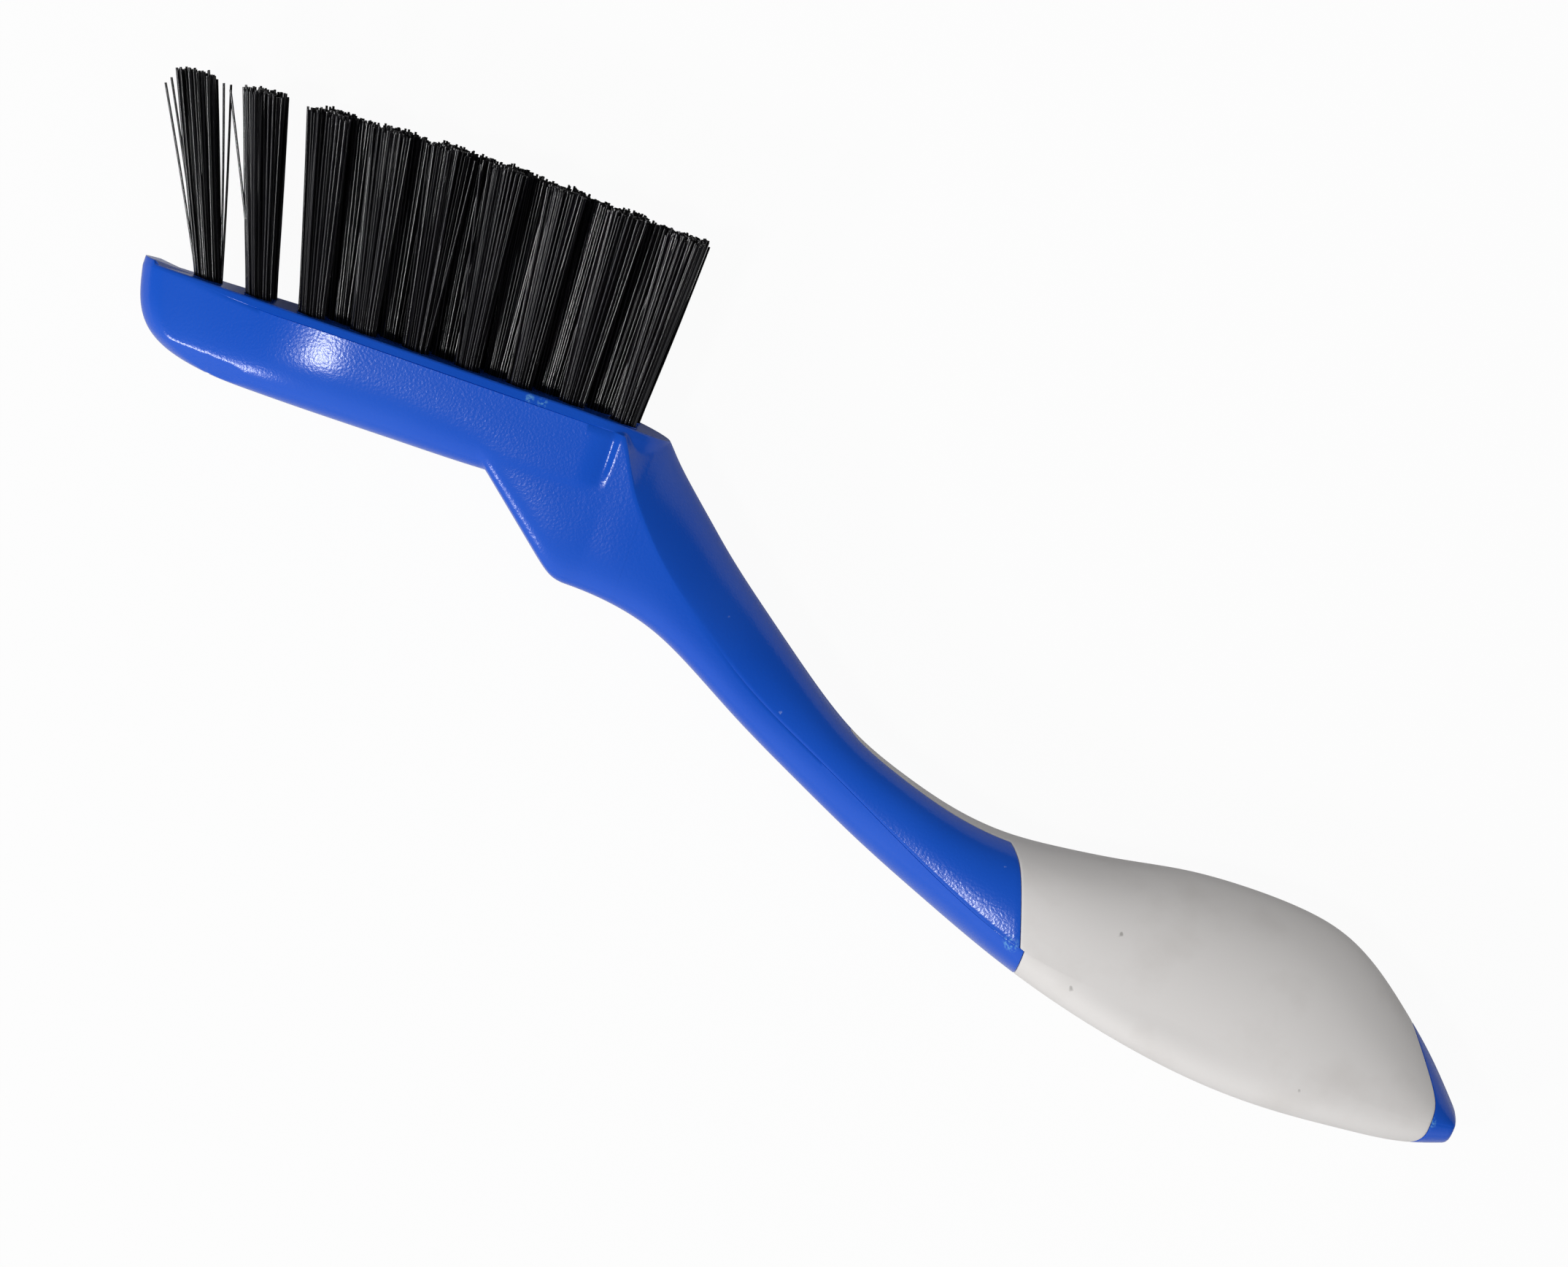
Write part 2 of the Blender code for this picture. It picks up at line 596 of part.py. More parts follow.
def build():
    """Builds every piece."""
    clear_scene()
    blue = material("blue_polypropylene", (0.012, 0.095, 0.60), 0.32)
    grey = material("grey_soft_rubber", (0.58, 0.57, 0.55), 0.75)
    nylon = material("black_nylon", (0.016, 0.016, 0.019), 0.45)
    steel = material("steel_anchor", (0.62, 0.60, 0.56), 0.35, 1.0)
    tufts = tuft_layout()

    handle = cutter("handle_form", handle_form())
    lip = cutter("nose_lip_form", nose_lip_form())
    tongue_room = cutter("tongue_room", tongue_room_form())
    holes = cutter("tuft_holes", hole_form(tufts))
    anchor_bottom = HOLE_DEPTH - ANCHOR_FLOOR_GAP
    anchor_top = anchor_bottom - ANCHOR_HEIGHT
    slots = cutter(
        "anchor_slots",
        anchor_box("anchor_slots", tufts, GAP, HOLE_DEPTH + SLOT_BELOW_HOLE, anchor_top - GAP),
    )

    head = head_form()
    shade(head)
    body = new_object("body", head, blue)
    add_boolean(body, "UNION", handle)
    add_boolean(body, "UNION", lip)
    add_boolean(body, "DIFFERENCE", holes)
    add_boolean(body, "DIFFERENCE", slots)
    add_boolean(body, "DIFFERENCE", tongue_room)

    sleeve = grip_mesh()
    shade(sleeve)
    grip = new_object("grip", sleeve, grey)

    pieces = [body, grip]
    for number, tuft in enumerate(tufts):
        bristles = new_object(f"tuft_{tuft.name}", tuft_mesh(tuft, number), nylon)
        add_boolean(bristles, "DIFFERENCE", slots)
        anchor = new_object(
            f"anchor_{tuft.name}", anchor_box("anchor", [tuft], 0.0, anchor_bottom, anchor_top), steel
        )
        pieces += [bristles, anchor]

    forms = [handle, lip, tongue_room, holes, slots]
    put_origin_under_middle([*pieces, handle], [*pieces, *forms])


build()
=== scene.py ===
"""Dresses the detailing brush: moulded head and handle, soft sleeve, nylon tufts and a plain studio.

The brush lies on its side. Lengths in the classes below are in millimetres from a point just ahead of
the nose: x runs along the bristle face to the tail, y is the height above that face, the way the
bristles point, and z is the distance from the mirror plane. BrushFrame turns them into the metres of
the fitted frame.
"""
import logging
from dataclasses import dataclass, field
from enum import Enum
from functools import cached_property
from math import cos, pi, radians, sin, tan

import bmesh
import bpy
import numpy as np
from mathutils import Matrix, Vector
from mathutils.geometry import delaunay_2d_cdt


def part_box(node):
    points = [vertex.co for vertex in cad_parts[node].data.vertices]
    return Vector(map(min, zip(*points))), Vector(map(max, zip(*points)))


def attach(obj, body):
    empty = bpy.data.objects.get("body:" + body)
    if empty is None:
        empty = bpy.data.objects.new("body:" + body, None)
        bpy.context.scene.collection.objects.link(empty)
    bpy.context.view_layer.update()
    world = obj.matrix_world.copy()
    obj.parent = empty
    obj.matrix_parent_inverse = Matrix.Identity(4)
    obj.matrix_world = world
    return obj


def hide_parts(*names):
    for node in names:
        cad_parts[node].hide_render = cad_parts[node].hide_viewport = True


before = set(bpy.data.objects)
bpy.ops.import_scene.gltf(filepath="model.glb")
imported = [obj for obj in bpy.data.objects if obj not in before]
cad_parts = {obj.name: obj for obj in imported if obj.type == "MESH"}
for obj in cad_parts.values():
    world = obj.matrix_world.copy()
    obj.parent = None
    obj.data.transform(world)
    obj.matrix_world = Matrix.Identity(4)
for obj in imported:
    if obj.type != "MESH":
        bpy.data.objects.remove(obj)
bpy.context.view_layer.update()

MM = 0.001
# How steeply a half width falls below zero outside an outline, so that no fillet reaches past it.
OUTSIDE_FALL = 20.0
# Keeps a divisor away from zero.
TINY = 1e-9
WHITE = (1.0, 1.0, 1.0, 1.0)
log = logging.getLogger("detailing_brush")


class Flank(Enum):
    """The two halves of the handle's outline, seen from the side."""

    UPPER = 1
    LOWER = -1


class Lamp(Enum):
    """What each lamp of the studio is for."""

    SPARKLE = "sparkle_lamp"
    UNDERSIDE = "underside_lamp"


def linear(colour: str) -> tuple[float, float, float, float]:
    """Turns an sRGB hex colour into linear RGBA.

    Args:
        colour: Six hex digits after a hash.

    Returns:
        Linear red, green, blue and an alpha of one.
    """
    parts = [int(colour[i:i + 2], 16) / 255 for i in (1, 3, 5)]
    curve = [part / 12.92 if part <= 0.04045 else ((part + 0.055) / 1.055) ** 2.4 for part in parts]
    return (*curve, 1.0)


def ease(value: np.ndarray) -> np.ndarray:
    """Smooth step 3 v^2 - 2 v^3 of the value v, held between 0 and 1."""
    held = np.clip(value, 0.0, 1.0)
    return held * held * (3 - 2 * held)


def soft_max(first: np.ndarray, second: np.ndarray, reach: float) -> np.ndarray:
    """The larger of two values, plus (reach - gap)^2 / (4 reach) where their gap is under the reach."""
    overlap = np.maximum(reach - np.abs(first - second), 0.0)
    return np.maximum(first, second) + overlap ** 2 / (4 * reach)


def soft_min(first: np.ndarray, second: np.ndarray, reach: float) -> np.ndarray:
    """The smaller of two values, rounded like soft_max."""
    return -soft_max(-first, -second, reach)


@dataclass(frozen=True)
class Spline:
    """A natural cubic spline through a few design points, in millimetres."""

    points: tuple[tuple[float, float], ...]

    @cached_property
    def knots(self) -> tuple[np.ndarray, np.ndarray, np.ndarray]:
        """Places, values and bending at the points: the bending solves the spline's band matrix.

        Returns:
            Places, values and second derivatives, one of each for every point.
        """
        place, value = np.array(self.points, dtype=float).T
        step = np.diff(place)
        slope = np.diff(value) / step
        band = np.eye(len(place))
        pull = np.zeros(len(place))
        for i in range(1, len(place) - 1):
            band[i, i - 1:i + 2] = (step[i - 1], 2 * (step[i - 1] + step[i]), step[i])
            pull[i] = 6 * (slope[i] - slope[i - 1])
        return place, value, np.linalg.solve(band, pull)

    def __call__(self, where: np.ndarray) -> np.ndarray:
        """Value of the cubic on each place's span; past the ends the end value holds.

        Args:
            where: Places along the brush.

        Returns:
            The spline's value at each place.
        """
        place, value, bend = self.knots
        x = np.clip(np.asarray(where, dtype=float), place[0], place[-1])
        i = np.clip(np.searchsorted(place, x) - 1, 0, len(place) - 2)
        step = place[i + 1] - place[i]
        a, b = (place[i + 1] - x) / step, (x - place[i]) / step
        bow = (a ** 3 - a) * bend[i] + (b ** 3 - b) * bend[i + 1]
        return a * value[i] + b * value[i + 1] + bow * step ** 2 / 6


@dataclass(frozen=True)
class BrushFrame:
    """Where the brush's own millimetres lie in the fitted frame."""

    nose_x: float
    face_y: float
    mirror_z: float

    @classmethod
    def from_body(cls, nose_start: float, lip_height: float) -> "BrushFrame":
        """Reads the frame from the fitted moulding, which begins at the nose and is highest at its lip."""
        low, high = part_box("body")
        return cls(low[0] - nose_start * MM, high[1] - lip_height * MM, (low[2] + high[2]) / 2)

    def world(self, points: np.ndarray) -> np.ndarray:
        """Turns brush millimetres into world metres."""
        return np.asarray(points) * MM + np.array((self.nose_x, self.face_y, self.mirror_z))


@dataclass
class Patch:
    """Points and faces of a piece of surface, before it becomes a mesh."""

    points: list[np.ndarray] = field(default_factory=list)
    faces: list[tuple[int, ...]] = field(default_factory=list)
    count: int = 0

    def add_points(self, points: np.ndarray) -> int:
        """Adds points to the patch.

        Args:
            points: Points, in any array whose last axis is x, y and z.

        Returns:
            Number of the first new point.
        """
        first = self.count
        self.points.append(np.asarray(points, dtype=float).reshape(-1, 3))
        self.count += len(self.points[-1])
        return first

    def add_grid(self, grid: np.ndarray) -> int:
        """Adds a grid of points, rows by columns, with a quad between each four neighbours.

        Args:
            grid: Points, rows by columns by three.

        Returns:
            Number of the grid's first point.
        """
        rows, columns = grid.shape[:2]
        first = self.add_points(grid)
        number = first + np.arange(rows * columns).reshape(rows, columns)
        quads = np.stack((number[:-1, :-1], number[1:, :-1], number[1:, 1:], number[:-1, 1:]), axis=-1)
        self.faces += [tuple(quad) for quad in quads.reshape(-1, 4).tolist()]
        return first

    def mesh(self, name: str, place: BrushFrame, weld: float = 0.002) -> bpy.types.Mesh:
        """Welds the points, faces the surface outward and returns it as a mesh.

        Args:
            name: Name of the mesh.
            place: Frame that the points are given in.
            weld: Distance in millimetres under which two points become one.

        Returns:
            The mesh, shaded smooth and without doubled points.
        """
        mesh = bpy.data.meshes.new(name)
        mesh.from_pydata(place.world(np.concatenate(self.points)).tolist(), [], self.faces)
        form = bmesh.new()
        form.from_mesh(mesh)
        bmesh.ops.remove_doubles(form, verts=form.verts, dist=weld * MM)
        bmesh.ops.dissolve_degenerate(form, edges=form.edges, dist=weld * MM / 4)
        bmesh.ops.recalc_face_normals(form, faces=form.faces)
        form.to_mesh(mesh)
        form.free()
        mesh.shade_smooth()
        return mesh


def dress(
        name: str, mesh: bpy.types.Mesh, finish: bpy.types.Material, slot: str,
        *nodes: str) -> None:
    """Makes a visible piece that rides on the brush and stands for fitted nodes.

    Args:
        name: Name of the piece.
        mesh: Its mesh, already in place.
        finish: Its material.
        slot: Material slot that the finish belongs to; not used.
        nodes: Fitted nodes that the piece stands for.
    """
    piece = bpy.data.objects.new(name, mesh)
    bpy.context.scene.collection.objects.link(piece)
    mesh.materials.append(finish)
    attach(piece, "root")
    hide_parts(*nodes)
    log.info("%s: %d faces", name, len(mesh.polygons))


@dataclass(frozen=True)
class HeadForm:
    """The narrow head block: a blunt nose, a crown below, and a rim that leans in above its parting line."""

    length: float = 84.0
    half_width: float = 10.5
    depth: float = 13.6
    depth_line: Spline = Spline((
        (0.0, 13.6), (30.0, 13.5), (45.0, 13.25), (57.0, 12.9), (62.0, 12.6), (66.0, 12.3), (70.0, 11.8),
        (76.0, 11.0), (84.0, 10.0),
    ))
    nose_start: float = 0.4
    nose_half_width: float = 4.6
    nose_round: float = 4.2
    taper_bend: float = 22.0
    taper_end: float = 36.0
    rear_round: float = 11.4
    nose_reach: float = 22.5
    nose_fullness: float = 3.8
    nose_slope: float = 0.2
    crown_fullness: Spline = Spline((
        (0.0, 4.2), (25.0, 4.2), (48.0, 4.2), (62.0, 6.0), (70.0, 8.0), (84.0, 8.0),
    ))
    crown_samples: int = 400
    belly_edge_depth: float = 9.9
    belly_edge_slope: float = 0.95
    belly_edge_fade: float = 19.0
    belly_edge_end: float = 27.0
    belly_edge_rise: float = 3.0
    belly_edge_round: float = 0.4
    rim_depth: float = 1.36
    rim_lean: float = 0.45
    rim_lean_limit: float = 1.5
    rim_round: float = 0.35
    lip_length: float = 2.7
    lip_run: float = 0.4
    lip_height: float = 0.5
    parting_line: Spline = Spline((
        (0.0, -0.95), (8.0, -0.95), (15.0, -1.1), (22.0, -1.2), (28.0, -1.0), (45.0, -0.78), (60.0, -0.66),
        (75.0, -0.54), (84.0, -0.5),
    ))
    face_line: Spline = Spline((
        (0.0, -0.4), (10.0, -0.2), (24.0, 0.18), (45.0, 0.58), (60.0, 0.74), (78.0, 0.72), (84.0, 0.2),
    ))

    def local_depth(self, x: np.ndarray) -> np.ndarray:
        """Depth of the crown: full behind the nose, rising where it runs out on the neck."""
        return self.depth_line(x)

    def nose_inset(self, depth: np.ndarray) -> np.ndarray:
        """How far the nose draws back: a slope, and reach (1 - (1 - s^p)^(1/p)) at a share s of the depth.

        Args:
            depth: Depths under the bristle face.

        Returns:
            How far the nose's outline lies behind its foremost line.
        """
        share = np.clip(depth / self.depth, 0.0, 1.0)
        power = self.nose_fullness
        slope = self.nose_slope * np.clip(depth - self.rim_depth, 0.0, None)
        return slope + self.nose_reach * (1 - (1 - share ** power) ** (1 / power))

    def crown_height(self, x: np.ndarray) -> np.ndarray:
        """Height of the underside's middle line: where the nose has drawn back to x, then the local depth.

        Args:
            x: Places along the head.

        Returns:
            Heights of the middle line, zero or less.
        """
        share = np.sin(np.linspace(0.0, pi / 2, self.crown_samples))
        reached = np.interp(x - self.nose_start, self.nose_inset(share * self.depth), share)
        return -self.local_depth(x) * reached

    def rim_height(self, x: np.ndarray) -> np.ndarray:
        """Height of the rim: the face's line, with a low lip at the very nose."""
        past = (x - self.lip_length + self.lip_run) / self.lip_run
        return self.face_line(x) + self.lip_height * (1 - ease(past))

    def plan_half_width(self, x: np.ndarray) -> np.ndarray:
        """Half width of the widest outline: a straight taper that bends evenly to the full width.

        Args:
            x: Places along the head.

        Returns:
            Half widths of the outline seen from above the face.
        """
        run = self.taper_end - self.taper_bend
        behind = x - self.nose_start
        straight = np.clip(behind, 0.0, self.taper_bend) - self.nose_round
        bend = np.clip((behind - self.taper_bend) / run, 0.0, 1.0)
        share = (straight + run * (bend - bend ** 2 / 2)) / (self.taper_bend - self.nose_round + run / 2)
        return self.nose_half_width + (self.half_width - self.nose_half_width) * share

    def half_width_at(self, x: np.ndarray, y: np.ndarray) -> np.ndarray:
        """Half width at a place and height.

        The taper is scaled by a superellipse of the depth and by quarter circles at the nose and the
        rear. A sloping plane cuts the belly's edge near the nose, and the rim leans in above the
        parting line and rounds over at its top. Below the crown the value falls steeply under zero.

        Args:
            x: Places along the head.
            y: Heights above the bristle face.

        Returns:
            Half widths, for heights up to the rim.
        """
        depth = np.clip(-y, 0.0, None)
        share = np.clip(depth / self.local_depth(x), 0.0, 1.0)
        power = self.crown_fullness(x)
        side = (1 - share ** power) ** (1 / power)
        plan = self.plan_half_width(x)
        edge = plan - (depth - self.belly_edge_depth) * self.belly_edge_slope
        fade = (x - self.belly_edge_fade) / (self.belly_edge_end - self.belly_edge_fade)
        wall = soft_min(plan * side, edge + self.belly_edge_rise * ease(fade), self.belly_edge_round)
        run = np.clip((x - self.nose_start - self.nose_inset(depth)) / self.nose_round, 0.0, 1.0)
        left = np.clip((self.length - x) / self.rear_round, 0.0, 1.0)
        rounded = np.sqrt(1 - (1 - run) ** 2) * np.sqrt(1 - (1 - left) ** 2)
        above = np.clip((y - self.parting_line(x)) / self.rim_depth, 0.0, self.rim_lean_limit)
        over = np.clip(y - self.rim_height(x) + self.rim_round, 0.0, self.rim_round)
        rim = self.rim_lean * above + self.rim_round - np.sqrt(self.rim_round ** 2 - over ** 2)
        beneath = np.clip(-y - self.local_depth(x), 0.0, None)
        return wall * rounded - rim * np.sqrt(1 - (1 - run) ** 2) - OUTSIDE_FALL * beneath


@dataclass(frozen=True)
class HandleForm:
    """Neck and handle: outlines seen from the side, half widths, and the section between them.

    Rings round off the tail's edge, each with its distance from the end and its depth.
    """

    start: float = 59.8
    tail: float = 229.7
    under_slope: float = 0.845
    under_start_height: float = -13.3
    under_corner_round: float = 2.4
    top_edge: Spline = Spline((
        (82.6, 1.3), (84.0, 0.2), (85.3, -1.2), (89.4, -5.2), (93.8, -9.1), (97.7, -12.5), (106.7, -19.5),
        (115.7, -26.15), (124.7, -31.9), (133.7, -35.45), (142.7, -37.85), (151.7, -38.75), (160.7, -38.0),
        (169.7, -36.6), (178.7, -34.9), (187.7, -34.15), (196.7, -34.3), (205.7, -36.1), (211.7, -39.3),
        (217.7, -43.85), (223.7, -49.1), (229.7, -55.4),
    ))
    bottom_edge: Spline = Spline((
        (60.0, -24.6), (72.0, -24.9), (79.7, -25.0), (85.7, -25.75), (91.7, -27.5), (97.7, -30.4),
        (106.7, -35.45), (118.7, -41.5), (130.7, -47.1), (142.7, -52.0), (154.7, -56.4), (166.7, -59.8),
        (178.7, -62.3), (190.7, -63.9), (202.7, -64.2), (214.7, -63.4), (224.7, -62.0), (229.7, -60.4),
    ))
    ridge_line: Spline = Spline((
        (74.0, 6.3), (77.5, 0.35), (79.6, -3.6), (81.4, -7.0), (84.3, -11.0), (88.4, -15.5), (96.3, -22.1),
        (105.0, -28.4), (120.2, -36.4), (133.6, -42.8), (148.0, -49.3), (157.8, -52.6), (172.2, -54.6),
        (186.5, -55.4), (209.0, -56.8), (221.2, -57.5), (229.7, -57.0),
    ))
    half_widths: Spline = Spline((
        (57.0, 10.4), (62.0, 10.4), (66.0, 10.4), (70.0, 10.41), (74.0, 10.42), (82.5, 10.4), (96.2, 9.2),
        (106.7, 7.8), (120.4, 6.8), (133.5, 7.3), (148.1, 9.4), (161.2, 11.6), (175.8, 12.5), (190.4, 12.6),
        (203.5, 12.1), (215.1, 10.4), (223.9, 8.4), (229.7, 6.6),
    ))
    upper_crease: Spline = Spline((
        (57.0, 0.42), (84.0, 0.38), (96.0, 0.22), (112.0, 0.06), (135.0, 0.02), (158.0, 0.02), (175.0, 0.005),
        (229.7, 0.04),
    ))
    lower_crease: Spline = Spline((
        (57.0, 0.03), (100.0, 0.05), (128.0, 0.14), (150.0, 0.26), (159.5, 0.16), (172.0, 0.01),
        (200.0, 0.01), (229.7, 0.05),
    ))
    upper_fullness: Spline = Spline((
        (57.0, 2.0), (112.0, 2.0), (135.0, 2.7), (158.0, 2.7), (178.0, 2.2), (229.7, 2.1),
    ))
    lower_fullness: Spline = Spline((
        (57.0, 6.8), (76.0, 6.6), (88.0, 4.5), (100.0, 3.2), (125.0, 2.4), (150.0, 2.4), (168.0, 3.0),
        (200.0, 3.2), (229.7, 2.4),
    ))
    front_round: float = 1.6
    front_fullness: float = 2.0
    flank_front: float = 77.6
    flank_step: float = 0.8
    flank_step_run: float = 2.0
    flank_step_foot: float = -9.4
    flank_step_fade: float = 4.0
    ridge_start_round: float = 0.7
    tail_edge_start: float = 0.55
    tail_edge: tuple[tuple[float, float], ...] = ((0.24, 0.07), (0.07, 0.24), (0.0, 0.5))

    def middle(self, x: np.ndarray, parting: np.ndarray) -> np.ndarray:
        """Height of the widest line: the head's parting line, turning down the ridge of the neck."""
        return soft_min(parting, self.ridge_line(x), self.ridge_start_round)

    def bottom(self, x: np.ndarray) -> np.ndarray:
        """Height of the underside: a straight slope under the head that rounds into the handle's edge."""
        slope = self.under_start_height - (x - self.start) * self.under_slope
        return soft_max(slope, self.bottom_edge(x), self.under_corner_round)

    def section(self, x: np.ndarray, share: np.ndarray, flank: Flank) -> np.ndarray:
        """Share of the half width at a share of the height from the widest line to an edge.

        It mixes a superellipse (1 - s^n)^(1/n) with a straight wedge (1 - s), which leaves the crease
        along the widest line.

        Args:
            x: Places along the handle.
            share: Shares of the height from the widest line to the edge.
            flank: Which half of the outline it is.

        Returns:
            Shares of the half width.
        """
        held = np.clip(share, 0.0, 1.0)
        if flank is Flank.UPPER:
            crease, power = self.upper_crease(x), self.upper_fullness(x)
        else:
            crease, power = self.lower_crease(x), self.lower_fullness(x)
        return (1 - crease) * (1 - held ** power) ** (1 / power) + crease * (1 - held)

    def half_width_at(self, x: np.ndarray, y: np.ndarray, middle: np.ndarray) -> np.ndarray:
        """Half width of the neck at a place and height, under zero outside its outline.

        The section is narrowed behind the slanted front edge by a rounding (1 - (1 - s)^n)^(1/n), and a
        shallow step in front of the ridge's corner sets it back to the side of the head.

        Args:
            x: Places along the handle.
            y: Heights above the bristle face.
            middle: Heights of the widest line.

        Returns:
            Half widths.
        """
        top, bottom = self.top_edge(x), self.bottom(x)
        above = y >= middle
        up = (y - middle) / (top - middle)
        down = (middle - y) / (middle - bottom)
        share = np.where(above, self.section(x, up, Flank.UPPER), self.section(x, down, Flank.LOWER))
        step = self.flank_step * ease((self.flank_front - x) / self.flank_step_run)
        step = step * ease((y - self.flank_step_foot) / self.flank_step_fade)
        behind = x - self.start - (self.under_start_height - y) / self.under_slope
        ahead = 1 - np.clip(behind / self.front_round, 0.0, 1.0)
        front = (1 - ahead ** self.front_fullness) ** (1 / self.front_fullness)
        outside = np.clip(y - top, 0.0, None) + np.clip(bottom - y, 0.0, None)
        return self.half_widths(x) * share * front - step - OUTSIDE_FALL * outside


@dataclass(frozen=True)
class SleeveEdges:
    """Where the soft sleeve begins and ends on the handle, and its tongue along the top of the neck.

    Seam rings lie on the blue side of each edge, at these multiples of the seam's width from it, and
    seam depths are how far the nearer three of them dip.
    """

    front: float = 159.5
    front_sweep: float = 6.95
    front_curl: float = 0.3
    front_curl_power: int = 9
    front_step: float = 0.75
    rear: float = 225.9
    rear_sweep: float = 6.85
    rear_bow: float = 4.0
    rear_tuck: float = 1.8
    wall: float = 2.5
    core_gap: float = 0.4
    seam: float = 0.14
    seam_rings: tuple[float, ...] = (1.6, 0.8, 0.4, 0.2)
    seam_depths: tuple[float, ...] = (0.02, 0.09, 0.7)
    tongue_tip: float = 124.0
    tongue_tip_round: float = 3.2
    tongue_tip_angle: float = radians(13.0)
    tongue_root_angle: float = radians(15.0)
    tongue_thickness: float = 1.0
    tongue_bed: float = 0.15
    tongue_step: float = 0.02
    core_step: float = 0.3

    def front_at(self, rise: np.ndarray) -> np.ndarray:
        """Front edge: a small step at the widest line, then forward with the rise, faster near the top.

        Args:
            rise: Shares of the rise above the widest line, negative below it.

        Returns:
            Places of the front edge.
        """
        up = np.clip(rise, 0.0, 1.0)
        sweep = (1 - self.front_curl) * up + self.front_curl * up ** self.front_curl_power
        return self.front - self.front_step * (rise > 0) - self.front_sweep * sweep

    def rear_at(self, rise: np.ndarray) -> np.ndarray:
        """Rear edge: bows forward with the fourth power of the rise, and tucks in with the fall's cube."""
        tuck = self.rear_tuck * np.clip(-rise, 0.0, 1.0) ** 3
        return self.rear - self.rear_sweep * np.clip(rise, 0.0, 1.0) ** self.rear_bow - tuck

    def tongue_half_angle(self, x: np.ndarray) -> np.ndarray:
        """Half angle of the tongue round the section, from its tip to the sleeve.

        Args:
            x: Places along the handle.

        Returns:
            Half angles in radians.
        """
        root = float(self.front_at(np.float64(1.0)))
        share = np.clip((x - self.tongue_tip) / (root - self.tongue_tip), 0.0, 1.0)
        return self.tongue_tip_angle + (self.tongue_root_angle - self.tongue_tip_angle) * share

    def tip_at(self, angle: np.ndarray, half_angle: float) -> np.ndarray:
        """Tongue tip: a round end, further back by R (1 - sqrt(1 - s^2)) at a share s of the half angle."""
        share = np.clip((pi / 2 - angle) / half_angle, 0.0, 1.0)
        return self.tongue_tip + self.tongue_tip_round * (1 - np.sqrt(1 - share ** 2))


@dataclass(frozen=True)
class Rows:
    """How many rows of points run along the brush.

    The groove is how far each edge of the parting groove lies from its bottom, and the tongue gap is
    the angle between the rows on either side of the tongue's edge.
    """

    flank: int = 22
    crown: int = 9
    lower: int = 40
    groove: float = 0.07
    tongue_gap: float = radians(0.9)

    @property
    def upper(self) -> int:
        """Rows from the widest line to the top."""
        return self.flank + self.crown

    @property
    def total(self) -> int:
        """Rows on one side: the upper ones, the groove's bottom and the lower ones."""
        return self.upper + 1 + self.lower


@dataclass(frozen=True)
class Rings:
    """How the rings of points round the brush are spread along it.

    Each run on the head holds its start, its end and the distance between its rings. Whole numbers
    count the rings of a stretch, and samples count the points tried on a ring before its rows are
    picked. The length weight is how far a ring's length, and not its turning, decides where they go.
    """

    nose: int = 20
    runs: tuple[tuple[float, float, float], ...] = ((5.2, 57.0, 1.1), (57.0, 67.0, 0.5), (67.0, 74.8, 0.4))
    fine_start: float = 74.8
    fine_step: float = 0.2
    rear_gap: float = 6.6
    rear_run: float = 6.5
    rear: int = 30
    rear_edge: float = 0.02
    root_gap: float = 0.3
    root_step: float = 0.55
    neck: int = 24
    tongue: int = 34
    core: int = 24
    tail: int = 12
    samples: int = 700
    length_weight: float = 0.6


